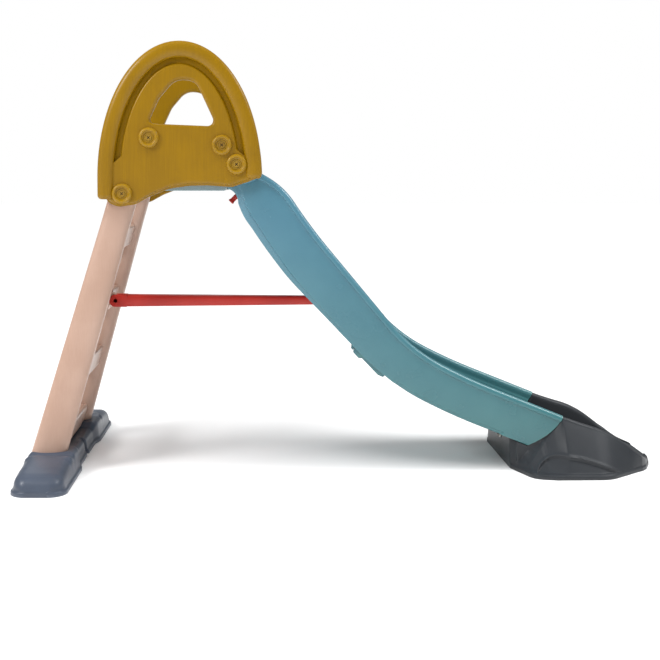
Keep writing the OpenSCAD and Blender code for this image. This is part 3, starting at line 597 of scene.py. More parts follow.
# Chute: blow-moulded teal polyethylene in one piece. The bed curves over a crest, runs straight down and
# levels out; both edges rise into hollow walls with a rolled rim, a parting line under the rim and an inset
# lower strip.
chute_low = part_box("chute")[0]
exit_low, exit_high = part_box("exit_foot")
CREST_L, SETTLE_L, BEND_L, RUNOUT_L = 0.150, 0.150, 0.340, 0.190
STEEP_SLOPE, RUNOUT_SLOPE = 50.0, 22.0
EXIT_L, EXIT_LIP_H = 0.270, 0.014
EXIT_SLOPES = np.array([[0, RUNOUT_SLOPE], [0.45 * EXIT_L, 16.0], [EXIT_L, 4.0]])
WALL_OUT = 0.158
TROUGH = 0.136
SKIN = 0.004
END_RAKE = 0.055


def bed_slopes(steep):
    """Slope of the bed in degrees at each distance along it, for a straight run of that length."""
    after = CREST_L + SETTLE_L + steep
    return np.array([[0, 0], [0.4 * CREST_L, 43], [CREST_L, 56], [CREST_L + SETTLE_L, STEEP_SLOPE],
                     [after, STEEP_SLOPE], [after + 0.56 * BEND_L, 28], [after + BEND_L, RUNOUT_SLOPE]])


def trace(slopes, length, start, pieces=384):
    """A path of equal segments, each turned down by the slope at its middle: p grows by ds (cos a, -sin
    a)."""
    a = np.radians(np.interp((np.arange(pieces) + 0.5) * length / pieces, slopes[:, 0], slopes[:, 1]))
    steps = length / pieces * np.stack([np.cos(a), -np.sin(a)], 1)
    return np.concatenate([[start], start + np.cumsum(steps, 0)])


def on_path(path, slopes, length, s, height):
    """The point at distance s along a path, moved square to it: p(s) + h (sin a, cos a)."""
    known = np.linspace(0, length, len(path))
    a = np.radians(np.interp(s, slopes[:, 0], slopes[:, 1]))
    x = np.interp(s, known, path[:, 0]) + height * np.sin(a)
    return x, np.interp(s, known, path[:, 1]) + height * np.cos(a)


bends_l = CREST_L + SETTLE_L + BEND_L + RUNOUT_L
bends_drop = -trace(bed_slopes(0.0), bends_l, [0, 0])[-1, 1]
exit_drop = -trace(EXIT_SLOPES, EXIT_L, [0, 0])[-1, 1]
steep_l = (DECK_H - EXIT_LIP_H - exit_drop - bends_drop) / np.sin(np.radians(STEEP_SLOPE))
BED_L = bends_l + steep_l
BED_SLOPES = bed_slopes(steep_l)
bed = trace(BED_SLOPES, BED_L, [chute_low.x, DECK_H])
RIM_H = np.array([[0, 0.030], [0.040, 0.046], [0.110, 0.064], [0.55 * BED_L, 0.062], [BED_L, 0.063]])
SKIRT_H = np.array([[0, -0.014], [0.090, -0.060], [0.300, -0.062], [0.600, -0.042], [BED_L, -0.038]])


def smooth_step(value, start, end):
    """Rises from 0 to 1 between start and end: 3 t^2 - 2 t^3."""
    t = np.clip((value - start) / (end - start), 0, 1)
    return t * t * (3 - 2 * t)


def softened(table, s, reach=0.030):
    """A table's value at s, averaged over a short reach on each side so that its corners turn smoothly."""
    offsets = np.linspace(-reach, reach, 9)
    return np.mean([np.interp(s + offset, table[:, 0], table[:, 1]) for offset in offsets], 0)


def end_rake(height):
    """How far the chute's end is cut back at a height above the bed: 55 mm times depth share to the
    1.85."""
    depth = np.clip((0.063 - height) / 0.101, 0, 1)
    return END_RAKE * depth ** 1.85


def chute_half(s, rim, skirt):
    """One half of the chute's section as (top Y, top height, under Y, under height), from the middle of
    the bed over the fillet, wall, rolled rim, parting line, outer wall and lower strip."""
    one = np.ones_like(s)
    fillet = np.minimum(0.022, (rim - 0.012) * 0.8)
    a = np.linspace(0, np.pi / 2, 9)[None]
    roll = np.linspace(np.pi, 0, 17)[None]
    flat = np.array([0, 0.15, 0.35, 0.6, 0.85, 0.96])[None] * (TROUGH - fillet)
    rise = np.linspace(0.08, 0.96, 12)[None]
    wall_h = fillet + rise * (rim - 0.011 - fillet)
    ridges = smooth_step(s, 0.45, 0.60) * (
        0.0022 * smooth_step(wall_h, 0.0255, 0.0275) + 0.0022 * smooth_step(wall_h, 0.0375, 0.0395))
    strip = 0.0052 * np.maximum(smooth_step(s, 0.045, 0.075) * (1 - smooth_step(s, 0.462, 0.476)),
                                smooth_step(s, 0.650, 0.664) * (1 - smooth_step(s, 0.965, 0.978)))
    fall = np.array([0.04, 0.2, 0.4, 0.6, 0.8, 0.95])[None]
    lower = skirt + 0.0075 + 0.0100 * (1 - smooth_step(s, 0.05, 0.47))
    outer_h = rim - 0.0185 + fall * (lower + 0.0035 - rim + 0.0185)
    columns = [
        (flat, 0 * flat * one, flat, -SKIN * one + 0 * flat),
        (TROUGH - fillet + fillet * np.sin(a), fillet * (1 - np.cos(a)),
         TROUGH - fillet + (fillet + SKIN) * np.sin(a), fillet - (fillet + SKIN) * np.cos(a)),
        (TROUGH - 0.0044 * smooth_step(s, 0.45, 0.60) + ridges, wall_h, TROUGH + SKIN + 0 * wall_h, wall_h),
        (TROUGH + 0.011 + 0.011 * np.cos(roll) * one, rim - 0.011 + 0.011 * np.sin(roll),
         TROUGH + 0.011 + 0.0066 * np.cos(roll) * one, rim - 0.011 + 0.0066 * np.sin(roll)),
        (WALL_OUT * one, rim - 0.0125, WALL_OUT - SKIN * one, rim - 0.0125),
        ((WALL_OUT - 0.0002) * one, rim - 0.0142, WALL_OUT - SKIN * one, rim - 0.0142),
        ((WALL_OUT - 0.0012) * one, rim - 0.0151, WALL_OUT - SKIN * one, rim - 0.0151),
        ((WALL_OUT - 0.0032) * one, rim - 0.0158, WALL_OUT - 0.006 * one, rim - 0.0158),
        ((WALL_OUT - 0.0034) * one, rim - 0.0178, WALL_OUT - 0.007 * one, rim - 0.0178),
        ((WALL_OUT - 0.0032) * one + 0.0022 * np.sin(np.pi * fall / 1.6), outer_h,
         (WALL_OUT - 0.007) * one + 0 * fall, outer_h),
        ((WALL_OUT - 0.0012) * one, lower + 0.0020, (WALL_OUT - 0.007) * one, lower + 0.0020),
        ((WALL_OUT - 0.0014) * one - 0.2 * strip, lower + 0.0008, (WALL_OUT - 0.007) * one - strip,
         lower + 0.0008),
        ((WALL_OUT - 0.0014) * one - 0.7 * strip, lower, (WALL_OUT - 0.008) * one - 1.3 * strip, lower),
        ((WALL_OUT - 0.0015) * one - 0.9 * strip, lower * 0.6 + skirt * 0.4,
         (WALL_OUT - 0.008) * one - 1.6 * strip, lower * 0.6 + skirt * 0.4),
        ((WALL_OUT - 0.0017) * one - 1.5 * strip, lower * 0.2 + skirt * 0.8,
         (WALL_OUT - 0.008) * one - 2.1 * strip, lower * 0.2 + skirt * 0.8),
        ((WALL_OUT - 0.0026) * one - 1.7 * strip, skirt, (WALL_OUT - 0.0075) * one - 1.9 * strip, skirt)]
    rows = len(s)
    return [np.concatenate([np.broadcast_to(c[k], (rows, np.shape(c[k])[1])) for c in columns], 1)
            for k in range(4)]


def chute_wall(rows=250):
    """The chute as a thin closed wall: its half section and the mirror of it, carried along the bed; at
    its end each height stops short by the rake."""
    share = np.linspace(0, 1, rows)[:, None]
    s = share * BED_L
    top_y, top_h, under_y, under_h = chute_half(s, softened(RIM_H, s), softened(SKIRT_H, s))
    sheets = []
    for y, h in ((top_y, top_h), (under_y, under_h)):
        h = np.concatenate([h[:, :0:-1], h], 1)
        y = np.concatenate([-y[:, :0:-1], y], 1)
        cut = s - smooth_step(s, BED_L - 0.2, BED_L) * end_rake(h)
        x, z = on_path(bed, BED_SLOPES, BED_L, cut, h)
        sheets.append(np.stack([x, y, z], -1))
    return shell(*sheets)


EAR_OUTLINE = [[0.0, -0.004], [-0.001, 0.070], [0.056, 0.070], [0.082, 0.034], [0.070, 0.004],
               [0.040, -0.006]]
bolt_ear = plate(rounded_outline(np.array(EAR_OUTLINE) + [chute_low.x + 0.0005, DECK_H],
                                 [0.006, 0.012, 0.014, 0.020, 0.020, 0.010]), 0.1476, 0.1615, 0.003)
peg_low, peg_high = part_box("tie_bar_peg")
PEG = np.array([(peg_low.x + peg_high.x) / 2, (peg_low.z + peg_high.z) / 2])
# Two hooks hold the bar's peg. Their upper ends stand through the bed, as the frame's ears do, which is a
# fault.
HOOK_OUTLINE = [[-0.034, 0.118], [-0.015, 0.008], [-0.015, -0.009], [-0.007, -0.015], [0.0052, -0.015],
                [-0.0042, -0.0035], [-0.0052, 0.0010], [0.0, 0.0056], [0.0042, 0.0035], [0.0140, -0.0080],
                [0.017, 0.006], [0.022, 0.050]]
peg_hook = plate(rounded_outline(np.array(HOOK_OUTLINE) + PEG,
                                 [0.004, 0.006, 0.004, 0.004, 0.002, 0.001, 0.002, 0.002, 0.001, 0.002, 0.004,
                                  0.004], 0.002), 0.0168, 0.0224, 0.001)
# A bracket block hangs under the bed on each side of its middle.
CRADLE_S = 0.600
CRADLE_OUTLINE = [[-0.048, -0.006], [-0.0478, -0.055], [-0.044, -0.0618], [-0.026, -0.0618],
                  [-0.020, -0.0560],
                  [0.034, -0.0600], [0.0478, -0.0560], [0.048, -0.006]]
cradle_s, cradle_h = np.array(CRADLE_OUTLINE).T
cradle_x, cradle_z = on_path(bed, BED_SLOPES, BED_L, CRADLE_S + cradle_s, cradle_h)
cradle = plate(rounded_outline(np.stack([cradle_x, cradle_z], 1),
                               [0.002, 0.003, 0.002, 0.002, 0.002, 0.003, 0.003, 0.002]), 0.0240, 0.0437,
                               0.002)
# The teal's low tint is painted light: greener and darker toward the floor.
teal = moulded("teal_gloss", (82, 133, 152), (76, 127, 147), (108, 162, 168), (0.22, 0.30), drawn=0.0,
               bump=0.05, coat=0.4, shine=0.5, low=(0.62, 0.80, 0.64))
# Round bosses under the bed take the two screws that were meant for the exit foot, and miss it.
SCREW_BACK = 0.104
BOSS_R = 0.011
BOSS_H = 0.037
SCREW_HEAD_R = 0.007
turn = np.linspace(0, 2 * np.pi, 32, endpoint=False)[None]
drop = -np.linspace(0.0005, BOSS_H, 8)[:, None]
boss_x, boss_z = on_path(bed, BED_SLOPES, BED_L, BED_L - SCREW_BACK + BOSS_R * np.cos(turn) + 0 * drop,
                         drop + 0 * turn)
screw_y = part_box("exit_screws")[1].y - SCREW_HEAD_R
screw_boss = tube(np.stack([boss_x, screw_y + BOSS_R * np.sin(turn) + 0 * drop, boss_z], -1))
chute_surfaces = [chute_wall()]
for half in (bolt_ear, peg_hook, cradle, screw_boss):
    chute_surfaces += [half, mirrored(half)]
add_piece("slide_chute", chute_surfaces, teal, "slide_frame", ["chute"])

# Exit foot: one anthracite moulding that laps under the chute's end. The bed and both rims run on and fade
# out at the nose; the flanks flare to the floor with an arched recess, a fold below each rim and a lip
# round the bottom.
charcoal = moulded("anthracite_satin", (50, 53, 57), (44, 47, 51), (82, 84, 86), (0.36, 0.46), drawn=0.0,
                   bump=0.10, shine=0.4)
EXIT_HALF = exit_high.y
NOSE_X = exit_high.x
REAR_X = exit_low.x
exit_start = bed[-1]
exit_bed = trace(EXIT_SLOPES, EXIT_L, exit_start)
EXIT_RIM_H = np.array([[0, 0.063], [0.4, 0.066], [0.6, 0.056], [0.78, 0.032], [1.0, 0.0]]) * [EXIT_L, 1]
LIP_H = 0.010
ROLL_END = np.pi / 4


def exit_plan():
    """The floor outline's far half from the rear edge to the nose: straight runs joined by round
    corners."""
    corners = [[REAR_X, -0.05], [REAR_X, 0.135], [REAR_X + 0.038, 0.232], [REAR_X + 0.090, EXIT_HALF],
               [NOSE_X - 0.150, EXIT_HALF - 0.002], [NOSE_X - 0.030, 0.150], [NOSE_X, 0.085], [NOSE_X, -0.05]]
    loop = rounded_outline(corners, [0, 0.030, 0.040, 0.050, 0.080, 0.070, 0.090, 0], 0.0022, 26)
    start = np.argmin(np.abs(loop[:, 0] - REAR_X) + np.abs(loop[:, 1] - 0.09))
    loop = np.roll(loop, -start, 0)
    end = np.argmax((loop[:, 0] > NOSE_X - 1e-5) & (loop[:, 1] < 0.062))
    return loop[:end]


def exit_shell():
    """The foot as a thin closed wall over stations along X: half section of bed, fillet, wall, rim,
    flank and lip, mirrored. The rear and the nose go down to the floor as extra stations at the first
    and last X."""
    plan = exit_plan()
    x, reach = plan[:, :1], plan[:, 1:]
    s = np.linspace(0, EXIT_L, 385)
    known_x = np.concatenate([bed[:, 0], exit_bed[1:, 0]])
    known_z = np.concatenate([bed[:, 1], exit_bed[1:, 1]])
    floor_z = np.interp(x, known_x, known_z)
    lapped = 1 - smooth_step(x, 0.492, 0.499)
    floor_z = floor_z - 0.0012 - 0.0085 * lapped
    rim_x, rim_z = on_path(exit_bed, EXIT_SLOPES, EXIT_L, s, softened(EXIT_RIM_H, s, 0.02))
    depth = np.linspace(-0.038, 0.063, 60)
    cut_x, cut_z = on_path(bed, BED_SLOPES, BED_L, BED_L - end_rake(depth), depth)
    under_s = np.linspace(BED_L - 0.2, BED_L - END_RAKE, 60)
    under_x, under_z = on_path(bed, BED_SLOPES, BED_L, under_s, softened(SKIRT_H, under_s))
    edge_x = np.concatenate([under_x, cut_x[1:], rim_x[rim_x > cut_x[-1]]])
    edge_z = np.concatenate([under_z, cut_z[1:], rim_z[rim_x > cut_x[-1]]])
    crest = np.interp(x + 0.0014, edge_x, edge_z) - 0.0014
    crest = np.maximum(crest, floor_z * (1 - lapped) + np.minimum(floor_z, crest) * lapped + 0.0002)
    wall = np.maximum(crest - floor_z, 0.0002)
    fillet = np.minimum(0.020, 0.45 * wall)
    roll = np.minimum(0.013, 0.45 * wall)
    narrow = np.minimum(1, (reach - 0.012) / 0.160)
    hump = 1 + 0.35 * smooth_step(x, 0.56, 0.66)
    buttress = np.interp(x - REAR_X, [0, 0.010, 0.018, 0.032, 0.041, 0.052, 0.068, 0.090],
                         [0.012, 0.018, 0.030, 0.052, 0.062, 0.090, 0.140, 0.300])
    a = np.linspace(0, np.pi / 2, 9)[None]
    b = np.linspace(np.pi, ROLL_END, 17)[None]
    flat = np.array([0, 0.15, 0.35, 0.6, 0.85, 0.96])[None]
    up = np.linspace(0.1, 0.9, 6)[None]
    t = np.linspace(0, 1, 60)[None]
    rim_y = 0.147
    half_roll = 0.011 * hump
    inner_y = rim_y - 0.011
    shoulder_y = inner_y + half_roll * (1 + np.cos(ROLL_END))
    shoulder_z = crest - roll * (1 - np.sin(ROLL_END))
    foot_y, foot_z = reach - 0.004, LIP_H + 0.0015
    knee_z = np.minimum(np.maximum(buttress, foot_z + 0.002), shoulder_z - 0.03 * (shoulder_z - foot_z))
    knee_y = np.minimum(shoulder_y + 0.002, foot_y - 0.004)
    drop = np.clip(t / 0.10, 0, 1)
    out = np.clip((t - 0.10) / 0.90, 0, 1)
    bulge = 1.0 + 0.55 * smooth_step(-x, -0.56, -0.47)
    flank_y = np.minimum(shoulder_y, foot_y - 0.006) * (1 - drop) + knee_y * drop + out * (foot_y - knee_y)
    flank_z = shoulder_z + drop * (knee_z - shoulder_z) - (knee_z - foot_z) * (1 - (1 - out) ** bulge)
    arch = 0.050 * (1 -
                    np.abs((x - 0.532) / np.where(x < 0.532, 0.072, 0.170)) ** np.where(x < 0.532, 2.2, 1.7))
    below = arch - flank_z
    recess = 0.0042 * smooth_step(below, 0.0, 0.005)
    ridge = 0.0030 * np.exp(-((below + 0.0010) / 0.0026) ** 2)
    shown = smooth_step(arch, 0.006, 0.012) * smooth_step(flank_z, LIP_H + 0.001, LIP_H + 0.006)
    fold_x = 0.443 + 0.88 * (flank_z - 0.035)
    fold = 0.0080 * np.clip(1 - ((x - fold_x) / 0.024) ** 2, 0, 1) * (
        smooth_step(flank_z, 0.016, 0.036) * (1 - smooth_step(flank_z, 0.095, 0.125)))
    push = shown * (ridge - recess) - fold
    flank_y = flank_y + push * 0.85
    flank_z = flank_z + push * 0.5
    c = np.linspace(0, np.pi / 2, 5)[None]
    top_y = np.concatenate([flat * (inner_y - fillet), inner_y - fillet + fillet * np.sin(a),
                            inner_y + 0 * up * x,
                            inner_y + half_roll + half_roll * np.cos(b)], 1)
    scale = narrow
    top_y = np.concatenate([top_y * scale, np.maximum(flank_y[:, 1:] * 1, top_y[:, -1:] * scale),
                            reach - 0.003 + 0.003 * np.sin(c), reach + 0 * x, reach + 0 * x], 1)
    top_z = np.concatenate([floor_z + 0 * flat, floor_z + fillet * (1 - np.cos(a)),
                            floor_z + fillet + up * (wall - fillet - roll), crest - roll + roll * np.sin(b),
                            flank_z[:, 1:], LIP_H - 0.003 * (1 - np.cos(c)) + 0 * x, 0.004 + 0 * x, 0 * x], 1)
    near_rows = np.clip(np.arange(len(x))[:, None] + np.arange(-10, 11), 0, len(x) - 1)
    calm = smooth_step(x, 0.655, 0.700)
    top_y = top_y + calm * (top_y[near_rows].mean(1) - top_y)
    top_z = top_z + calm * (top_z[near_rows].mean(1) - top_z)
    columns = top_y.shape[1]
    bed_columns = flat.shape[1] + a.shape[1] + up.shape[1]
    outward = np.concatenate([np.linspace(0, 1, bed_columns), np.cos(np.pi * np.linspace(0, 1, b.shape[1])),
                              -np.ones(columns - bed_columns - b.shape[1])])
    under_y = np.maximum(top_y + 0.004 * outward, 0)
    under_z = np.maximum(top_z - 0.005 * (np.arange(columns) < columns - 7), 0)
    sheets = []
    for y, z, inset in ((top_y, top_z, 0.0), (under_y, under_z, 0.004)):
        y = np.concatenate([-y[:, :0:-1], y], 1)
        z = np.concatenate([z[:, :0:-1], z], 1)
        ramp = np.linspace(0, 1, 10)[:-1, None]
        rear_y, rear_z = np.repeat(y[:1], 9, 0), ramp * z[:1]
        nose_y, nose_z = np.repeat(y[-1:], 9, 0), ramp[::-1] * z[-1:]
        place_x = np.concatenate([np.full((9, 1), x[0, 0] + inset),
                                  np.clip(x, REAR_X + inset, NOSE_X - inset),
                                  np.full((9, 1), x[-1, 0] - inset)])
        full_y = np.concatenate([rear_y, y, nose_y])
        sheets.append(np.stack([np.broadcast_to(place_x, full_y.shape), full_y,
                                np.concatenate([rear_z, z, nose_z])], -1))
    return shell(*sheets)


add_piece("exit_floor_foot", [exit_shell()], charcoal, "slide_frame", ["exit_foot"], 50)

# Hose connector: a red ribbed stem through the top of the bed, tilted back, held by a nut from below.
red = moulded("red_gloss", (194, 50, 40), (180, 42, 34), (214, 100, 86), (0.28, 0.38), drawn=0.2, bump=0.08,
              coat=0.2)
NIPPLE_PROFILE = np.array([
    [0.0, -0.058], [0.0042, -0.058], [0.0066, -0.0578], [0.0078, -0.0565], [0.0080, -0.0550],
    [0.0074, -0.0535],
    [0.0064, -0.0515], [0.0064, -0.040], [0.0070, -0.0385], [0.0064, -0.037], [0.0064, 0.0085],
    [0.0115, 0.0092],
    [0.0120, 0.0104], [0.0115, 0.0116], [0.0060, 0.0119], [0.0, 0.0119]])
hose_x = chute_low.x + 0.041
hose_z = np.interp(hose_x, bed[:, 0], bed[:, 1]) - 0.002
TILT = np.radians(45)
nipple = lathe(NIPPLE_PROFILE, [hose_x, 0.0, hose_z], (np.sin(TILT), 0, np.cos(TILT)), 40)
add_piece("hose_connector", [nipple], red, "slide_frame", ["hose_nipple"])
refinish(red, "hose_nut", "tie_bar_pin", "tie_bar_peg")

# Ladder rails: hollow beige mouldings, a flattened round section that widens toward the floor. They hang
# straight from the pivot cups and then splay apart.
RAIL_LEAN = np.radians(16.2)
rail_low, rail_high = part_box("rail_far")
RAIL_W = (0.071, 0.086)
RAIL_T = (0.044, 0.050)
RAIL_STRAIGHT = 0.070
RAIL_REACH = PIVOT[2] / np.cos(RAIL_LEAN)
rail_y_top = rail_low.y + RAIL_T[0] / 2
rail_y_foot = rail_high.y - RAIL_T[1] / 2
beige = moulded("beige_satin", (196, 163, 145), (187, 153, 134), (216, 192, 178), (0.32, 0.42), drawn=0.3,
                bump=0.14, shine=0.5, coat=0.2)


def rail_share(down):
    """0 in the straight top, rising evenly to 1 where the rail would meet the floor."""
    return np.clip((down - RAIL_STRAIGHT) / (RAIL_REACH - RAIL_STRAIGHT), 0, 1)


def rail_surface():
    """A section |x|^3 + |y|^3 = 1 carried down the leaning line; its middle moves outward with the
    splay."""
    down = np.concatenate([-0.0345 * np.cos(np.linspace(0, np.pi / 2, 12)), np.linspace(0.002, 0.690, 150)])
    share = softened(np.stack([down, rail_share(down)], 1), down, 0.012)
    head = np.sqrt(np.clip(1 - (np.minimum(down, 0) / 0.0345) ** 2, 0.002, 1))
    half_w = (RAIL_W[0] + share * (RAIL_W[1] - RAIL_W[0])) / 2 * head
    half_t = (RAIL_T[0] + share * (RAIL_T[1] - RAIL_T[0])) / 2
    a = np.linspace(0, 2 * np.pi, 56, endpoint=False)
    u = np.sign(np.cos(a)) * np.abs(np.cos(a)) ** (2 / 2.6)
    v = np.sign(np.sin(a)) * np.abs(np.sin(a)) ** (2 / 2.6)
    x = PIVOT[0] - down[:, None] * np.sin(RAIL_LEAN) + half_w[:, None] * u * np.cos(RAIL_LEAN)
    z = PIVOT[2] - down[:, None] * np.cos(RAIL_LEAN) - half_w[:, None] * u * np.sin(RAIL_LEAN)
    y = rail_y_top + share[:, None] * (rail_y_foot - rail_y_top) + half_t[:, None] * v
    return tube(np.stack([x, y, np.maximum(z, 0.0105)], -1))


rail = rail_surface()
add_piece("ladder_rail_far", [rail], beige, "ladder", ["rail_far"])
add_piece("ladder_rail_near", [mirrored(rail)], beige, "ladder", ["rail_near"])

# Steps: four hollow beige treads, level on top with raised ribs, open underneath and plugged into both
# rails. The third has a slot in its front wall and a lug behind it for the tie bar.
STEP_H = 0.056
STEP_WALL = 0.004
STEP_SET_BACK = 0.013
SLOT_HALF = 0.018
LUG_HALF = 0.009
HINGE = np.array(next(j["pos_m"] for j in frame["joints"] if j["name"] == "tie_bar_fold"))


def rail_x(z):
    """X of the rail's middle line at a height."""
    return PIVOT[0] - (PIVOT[2] - z) * np.tan(RAIL_LEAN)


def step_section(top, low_y, high_y, thick, first=0, last=None):
    """A step's section, up the front wall, over the ribbed top and down the rear wall, carried along Y."""
    width = RAIL_W[0] + rail_share((PIVOT[2] - top) / np.cos(RAIL_LEAN)) * (RAIL_W[1] - RAIL_W[0])
    half = width / 2 / np.cos(RAIL_LEAN) - 0.004 - thick
    level = top - thick
    front_half = half - STEP_SET_BACK
    a = np.linspace(0, np.pi / 2, 7)
    edge = 0.009 - thick * 0.8
    under = np.linspace(STEP_H, edge + thick, 8)
    front = np.stack([front_half - 0 * under, under - thick], 1)
    nose = np.stack([front_half - edge * (1 - np.cos(a)), edge * (1 - np.sin(a))], 1)
    rear_shift = np.array([half - front_half, 0.0])
    run = np.linspace(front_half - edge - 0.002, -half + edge + 0.002, 57)
    rib = 0.0011 * (1 - np.abs(np.sin(np.pi * (run - run[0]) / (run[-1] - run[0]) * 7)) ** 0.5) * (thick == 0)
    tread = np.stack([run, rib], 1)
    section = np.concatenate([front, nose, tread, (nose * [-1, 1] - rear_shift)[::-1],
                              (front * [-1, 1] - rear_shift)[::-1]])[first:last]
    z = level - section[:, 1]
    x = rail_x(z) + section[:, 0]
    inset = thick * 1.0
    y = np.linspace(low_y + inset * (low_y < 0 and low_y != -SLOT_HALF), high_y - inset * 0, 9)
    shape = (len(y), len(section))
    return np.stack([np.broadcast_to(x, shape), np.broadcast_to(y[:, None], shape),
                     np.broadcast_to(z, shape)], -1)


def step_body(top, low_y, high_y, first=0, last=None):
    """A length of step as a closed thin wall."""
    return shell(step_section(top, low_y, high_y, 0.0, first, last),
                 step_section(top, low_y, high_y, STEP_WALL, first, last))


for number in range(1, 5):
    low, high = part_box(f"step_{number}")
    if number == 3:
        lug_outline = rounded_outline(np.array([[-0.040, 0.020], [-0.006, 0.020], [0.009, 0.010],
                                                [0.012, -0.002],
                                                [0.006, -0.0115], [-0.004, -0.012], [-0.044, -0.014]])
                                      + HINGE[[0, 2]], [0.002, 0.010, 0.008, 0.008, 0.006, 0.006, 0.002])
        halves = [step_body(high.z, SLOT_HALF, high.y), plate(lug_outline, -LUG_HALF, LUG_HALF, 0.001),
                  step_body(high.z, -SLOT_HALF, SLOT_HALF, 12)]
        halves.append(mirrored(halves[0]))
    else:
        halves = [step_body(high.z, low.y, high.y)]
    add_piece(f"tread_{number}", halves, beige, "ladder", [f"step_{number}"])

# Ladder foot: one long slate-grey moulding with a floor lip, sloping noses and a raised collar round each
# rail.
foot_low, foot_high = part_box("ladder_foot")
slate = moulded("slate_satin", (76, 84, 98), (68, 75, 88), (112, 121, 136), (0.30, 0.42), drawn=0.2,
                bump=0.14,
                shine=0.45)
FOOT_HALF_L = foot_high.y
FOOT_TOP = np.array([[0.0, 0.043], [0.112, 0.044], [0.128, 0.058], [0.196, 0.059], [0.205, 0.0545],
                     [0.214, 0.0545], [0.228, 0.0585], [0.242, 0.0570], [0.300, 0.0520], [0.335, 0.0465],
                     [0.352, 0.0410], [0.362, 0.0335], [0.3685, 0.022], [0.372, 0.009]])


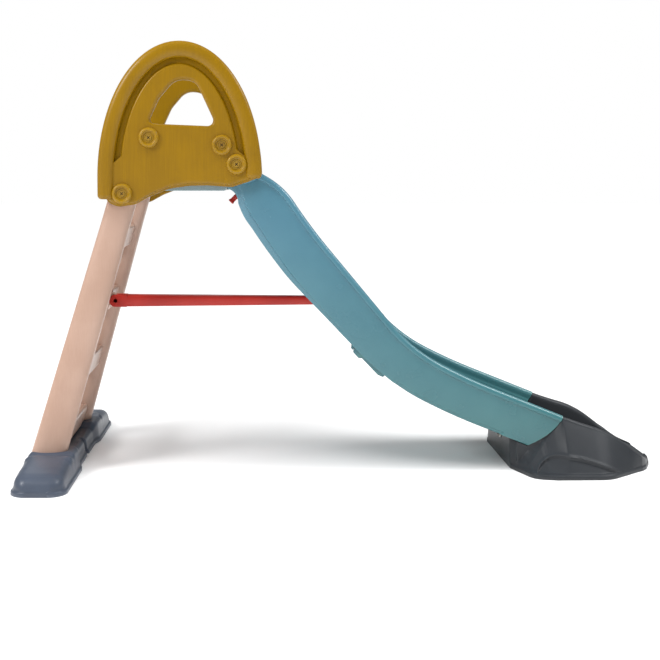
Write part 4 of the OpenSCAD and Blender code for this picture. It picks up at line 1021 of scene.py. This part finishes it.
def foot_shell():
    """The foot as a thin closed wall over stations along Y: across each runs lip, ledge, side, rounded
    top and the same back. The stations follow the plan's round corners, and the ends go down to the
    floor."""
    middle = (foot_low.x + foot_high.x) / 2
    half_w = (foot_high.x - foot_low.x) / 2
    corner = 0.040
    a = np.linspace(0, np.pi / 2, 16)[:-1]
    y = np.concatenate([FOOT_HALF_L - corner * (1 - np.cos(a)), np.linspace(FOOT_HALF_L - corner, 0, 110)])
    round_off = np.concatenate([corner * (1 - np.sin(a)), np.zeros(110)])
    y = np.concatenate([-y, y[-2::-1]])
    round_off = np.concatenate([round_off, round_off[-2::-1]])
    waist = 0.010 * smooth_step(-np.abs(y), -0.150, -0.105)
    notch = 0.007 * smooth_step(-np.abs(y), -0.013, -0.010)
    top = np.mean([np.interp(np.abs(y) + o, FOOT_TOP[:, 0], FOOT_TOP[:, 1]) for o in (-0.003, 0, 0.003)], 0)
    top = np.minimum(top, FOOT_TOP[-1, 1] + 8 * (FOOT_HALF_L - np.abs(y)) + 0.0005)
    sheets = []
    for thick in (0.0, 0.004):
        left = half_w - round_off - thick
        right = left - waist - notch
        b = np.linspace(0, np.pi / 2, 8)
        ledge = 0.0045
        level = top - thick
        edge = np.minimum(0.016 + 0.010 * smooth_step(np.abs(y), 0.226, 0.250),
                          0.8 * np.maximum(level - 0.010, 0.0004))
        side = []
        for width in (left, right):
            inset = np.minimum(ledge + 0.0025, width * 0.5)
            reach = [width, width, width - 0.001, width - ledge * 0.7, width - ledge]
            height = [0 * y, 0 * y + 0.0065 - thick / 2, 0 * y + 0.0088 - thick / 2,
                      0 * y + 0.0095 - thick / 2,
                      0 * y + 0.0105 - thick / 2]
            for f in (0.25, 0.6, 0.95):
                reach.append(width - ledge + f * (ledge - inset))
                height.append(0.0105 + f * np.maximum(level - edge - 0.0105, 0.0002))
            for t in b:
                reach.append(width - inset - edge * (1 - np.cos(t)))
                height.append(np.maximum(level - edge * (1 - np.sin(t)), 0.0108))
            for f in (0.12, 0.3, 0.5, 0.7, 0.9):
                reach.append((width - inset - edge) * (1 - f))
                height.append(np.maximum(level, 0.0108))
            side.append((np.stack(reach, 1), np.stack(height, 1)))
        x = np.concatenate([-side[0][0], side[1][0][:, ::-1]], 1)
        z = np.concatenate([side[0][1], side[1][1][:, ::-1]], 1)
        z = np.minimum(z, np.maximum(top, 0.009)[:, None] - thick * (z > 0.02))
        ramp = np.linspace(0, 1, 6)[:-1, None]
        x = middle + np.concatenate([np.repeat(x[:1], 5, 0), x, np.repeat(x[-1:], 5, 0)])
        z = np.concatenate([ramp * z[:1], z, ramp[::-1] * z[-1:]])
        along = np.concatenate([np.full(5, y[0]), y, np.full(5, y[-1])])
        along = np.clip(along, -FOOT_HALF_L + thick, FOOT_HALF_L - thick)
        sheets.append(np.stack([x, np.broadcast_to(along[:, None], x.shape), np.maximum(z, 0)], -1))
    return shell(*sheets)


add_piece("ladder_floor_foot", [foot_shell()], slate, "ladder", ["ladder_foot"], 50)

# Tie bar: a red bar with rounded edges, forked round the third step's lug and tapering to the peg under the
# chute.
bar_low, bar_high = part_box("tie_bar")


def tie_bar_body():
    """A section |y|^3 + |z|^3 = 1 carried along X, its lower edge level and its upper edge falling; both
    ends are drawn in."""
    first, last = HINGE[0] + 0.021, bar_high.x
    close = 0.007
    a = np.linspace(0, np.pi / 2, 7)
    x = np.concatenate([first + close * (1 - np.cos(a)), np.linspace(first + close, last - close, 60)[1:-1],
                        last - close * (1 - np.cos(a[::-1]))])
    near = np.minimum(x - first, last - x)
    draw_in = close * (1 - np.sqrt(np.clip(1 - (1 - np.clip(near / close, 0, 1)) ** 2, 0, 1)))
    taper = np.clip((x - first - 0.010) / (last - first - 0.010), 0, 1)
    lower = bar_low.z + 0.0050 * taper
    upper = bar_high.z - 0.0050 * taper
    half_z = (upper - lower) / 2 - draw_in
    half_y = (bar_high.y - bar_low.y) / 2 - draw_in
    b = np.linspace(0, 2 * np.pi, 48, endpoint=False)
    u = np.sign(np.cos(b)) * np.abs(np.cos(b)) ** (2 / 3.4)
    v = np.sign(np.sin(b)) * np.abs(np.sin(b)) ** (2 / 3.4)
    return tube(np.stack([np.broadcast_to(x[:, None], (len(x), 48)), half_y[:, None] * u,
                          (upper + lower)[:, None] / 2 + half_z[:, None] * v], -1))


a = np.linspace(np.pi / 2, 3 * np.pi / 2, 25)
bar_h = bar_high.z - bar_low.z
fork_round = HINGE[[0, 2]] + 0.497 * bar_h * np.stack([np.cos(a), np.sin(a)], 1)
fork_outline = np.concatenate([fork_round, HINGE[[0, 2]] + [[0.030, -0.497 * bar_h], [0.030, 0.497 * bar_h]]])
fork = plate(rounded_outline(fork_outline, 0.0, 0.004), 0.0098, 0.0160, 0.0018)
add_piece("red_tie_bar", [tie_bar_body(), fork, mirrored(fork)], red, "tie_bar", ["tie_bar"])
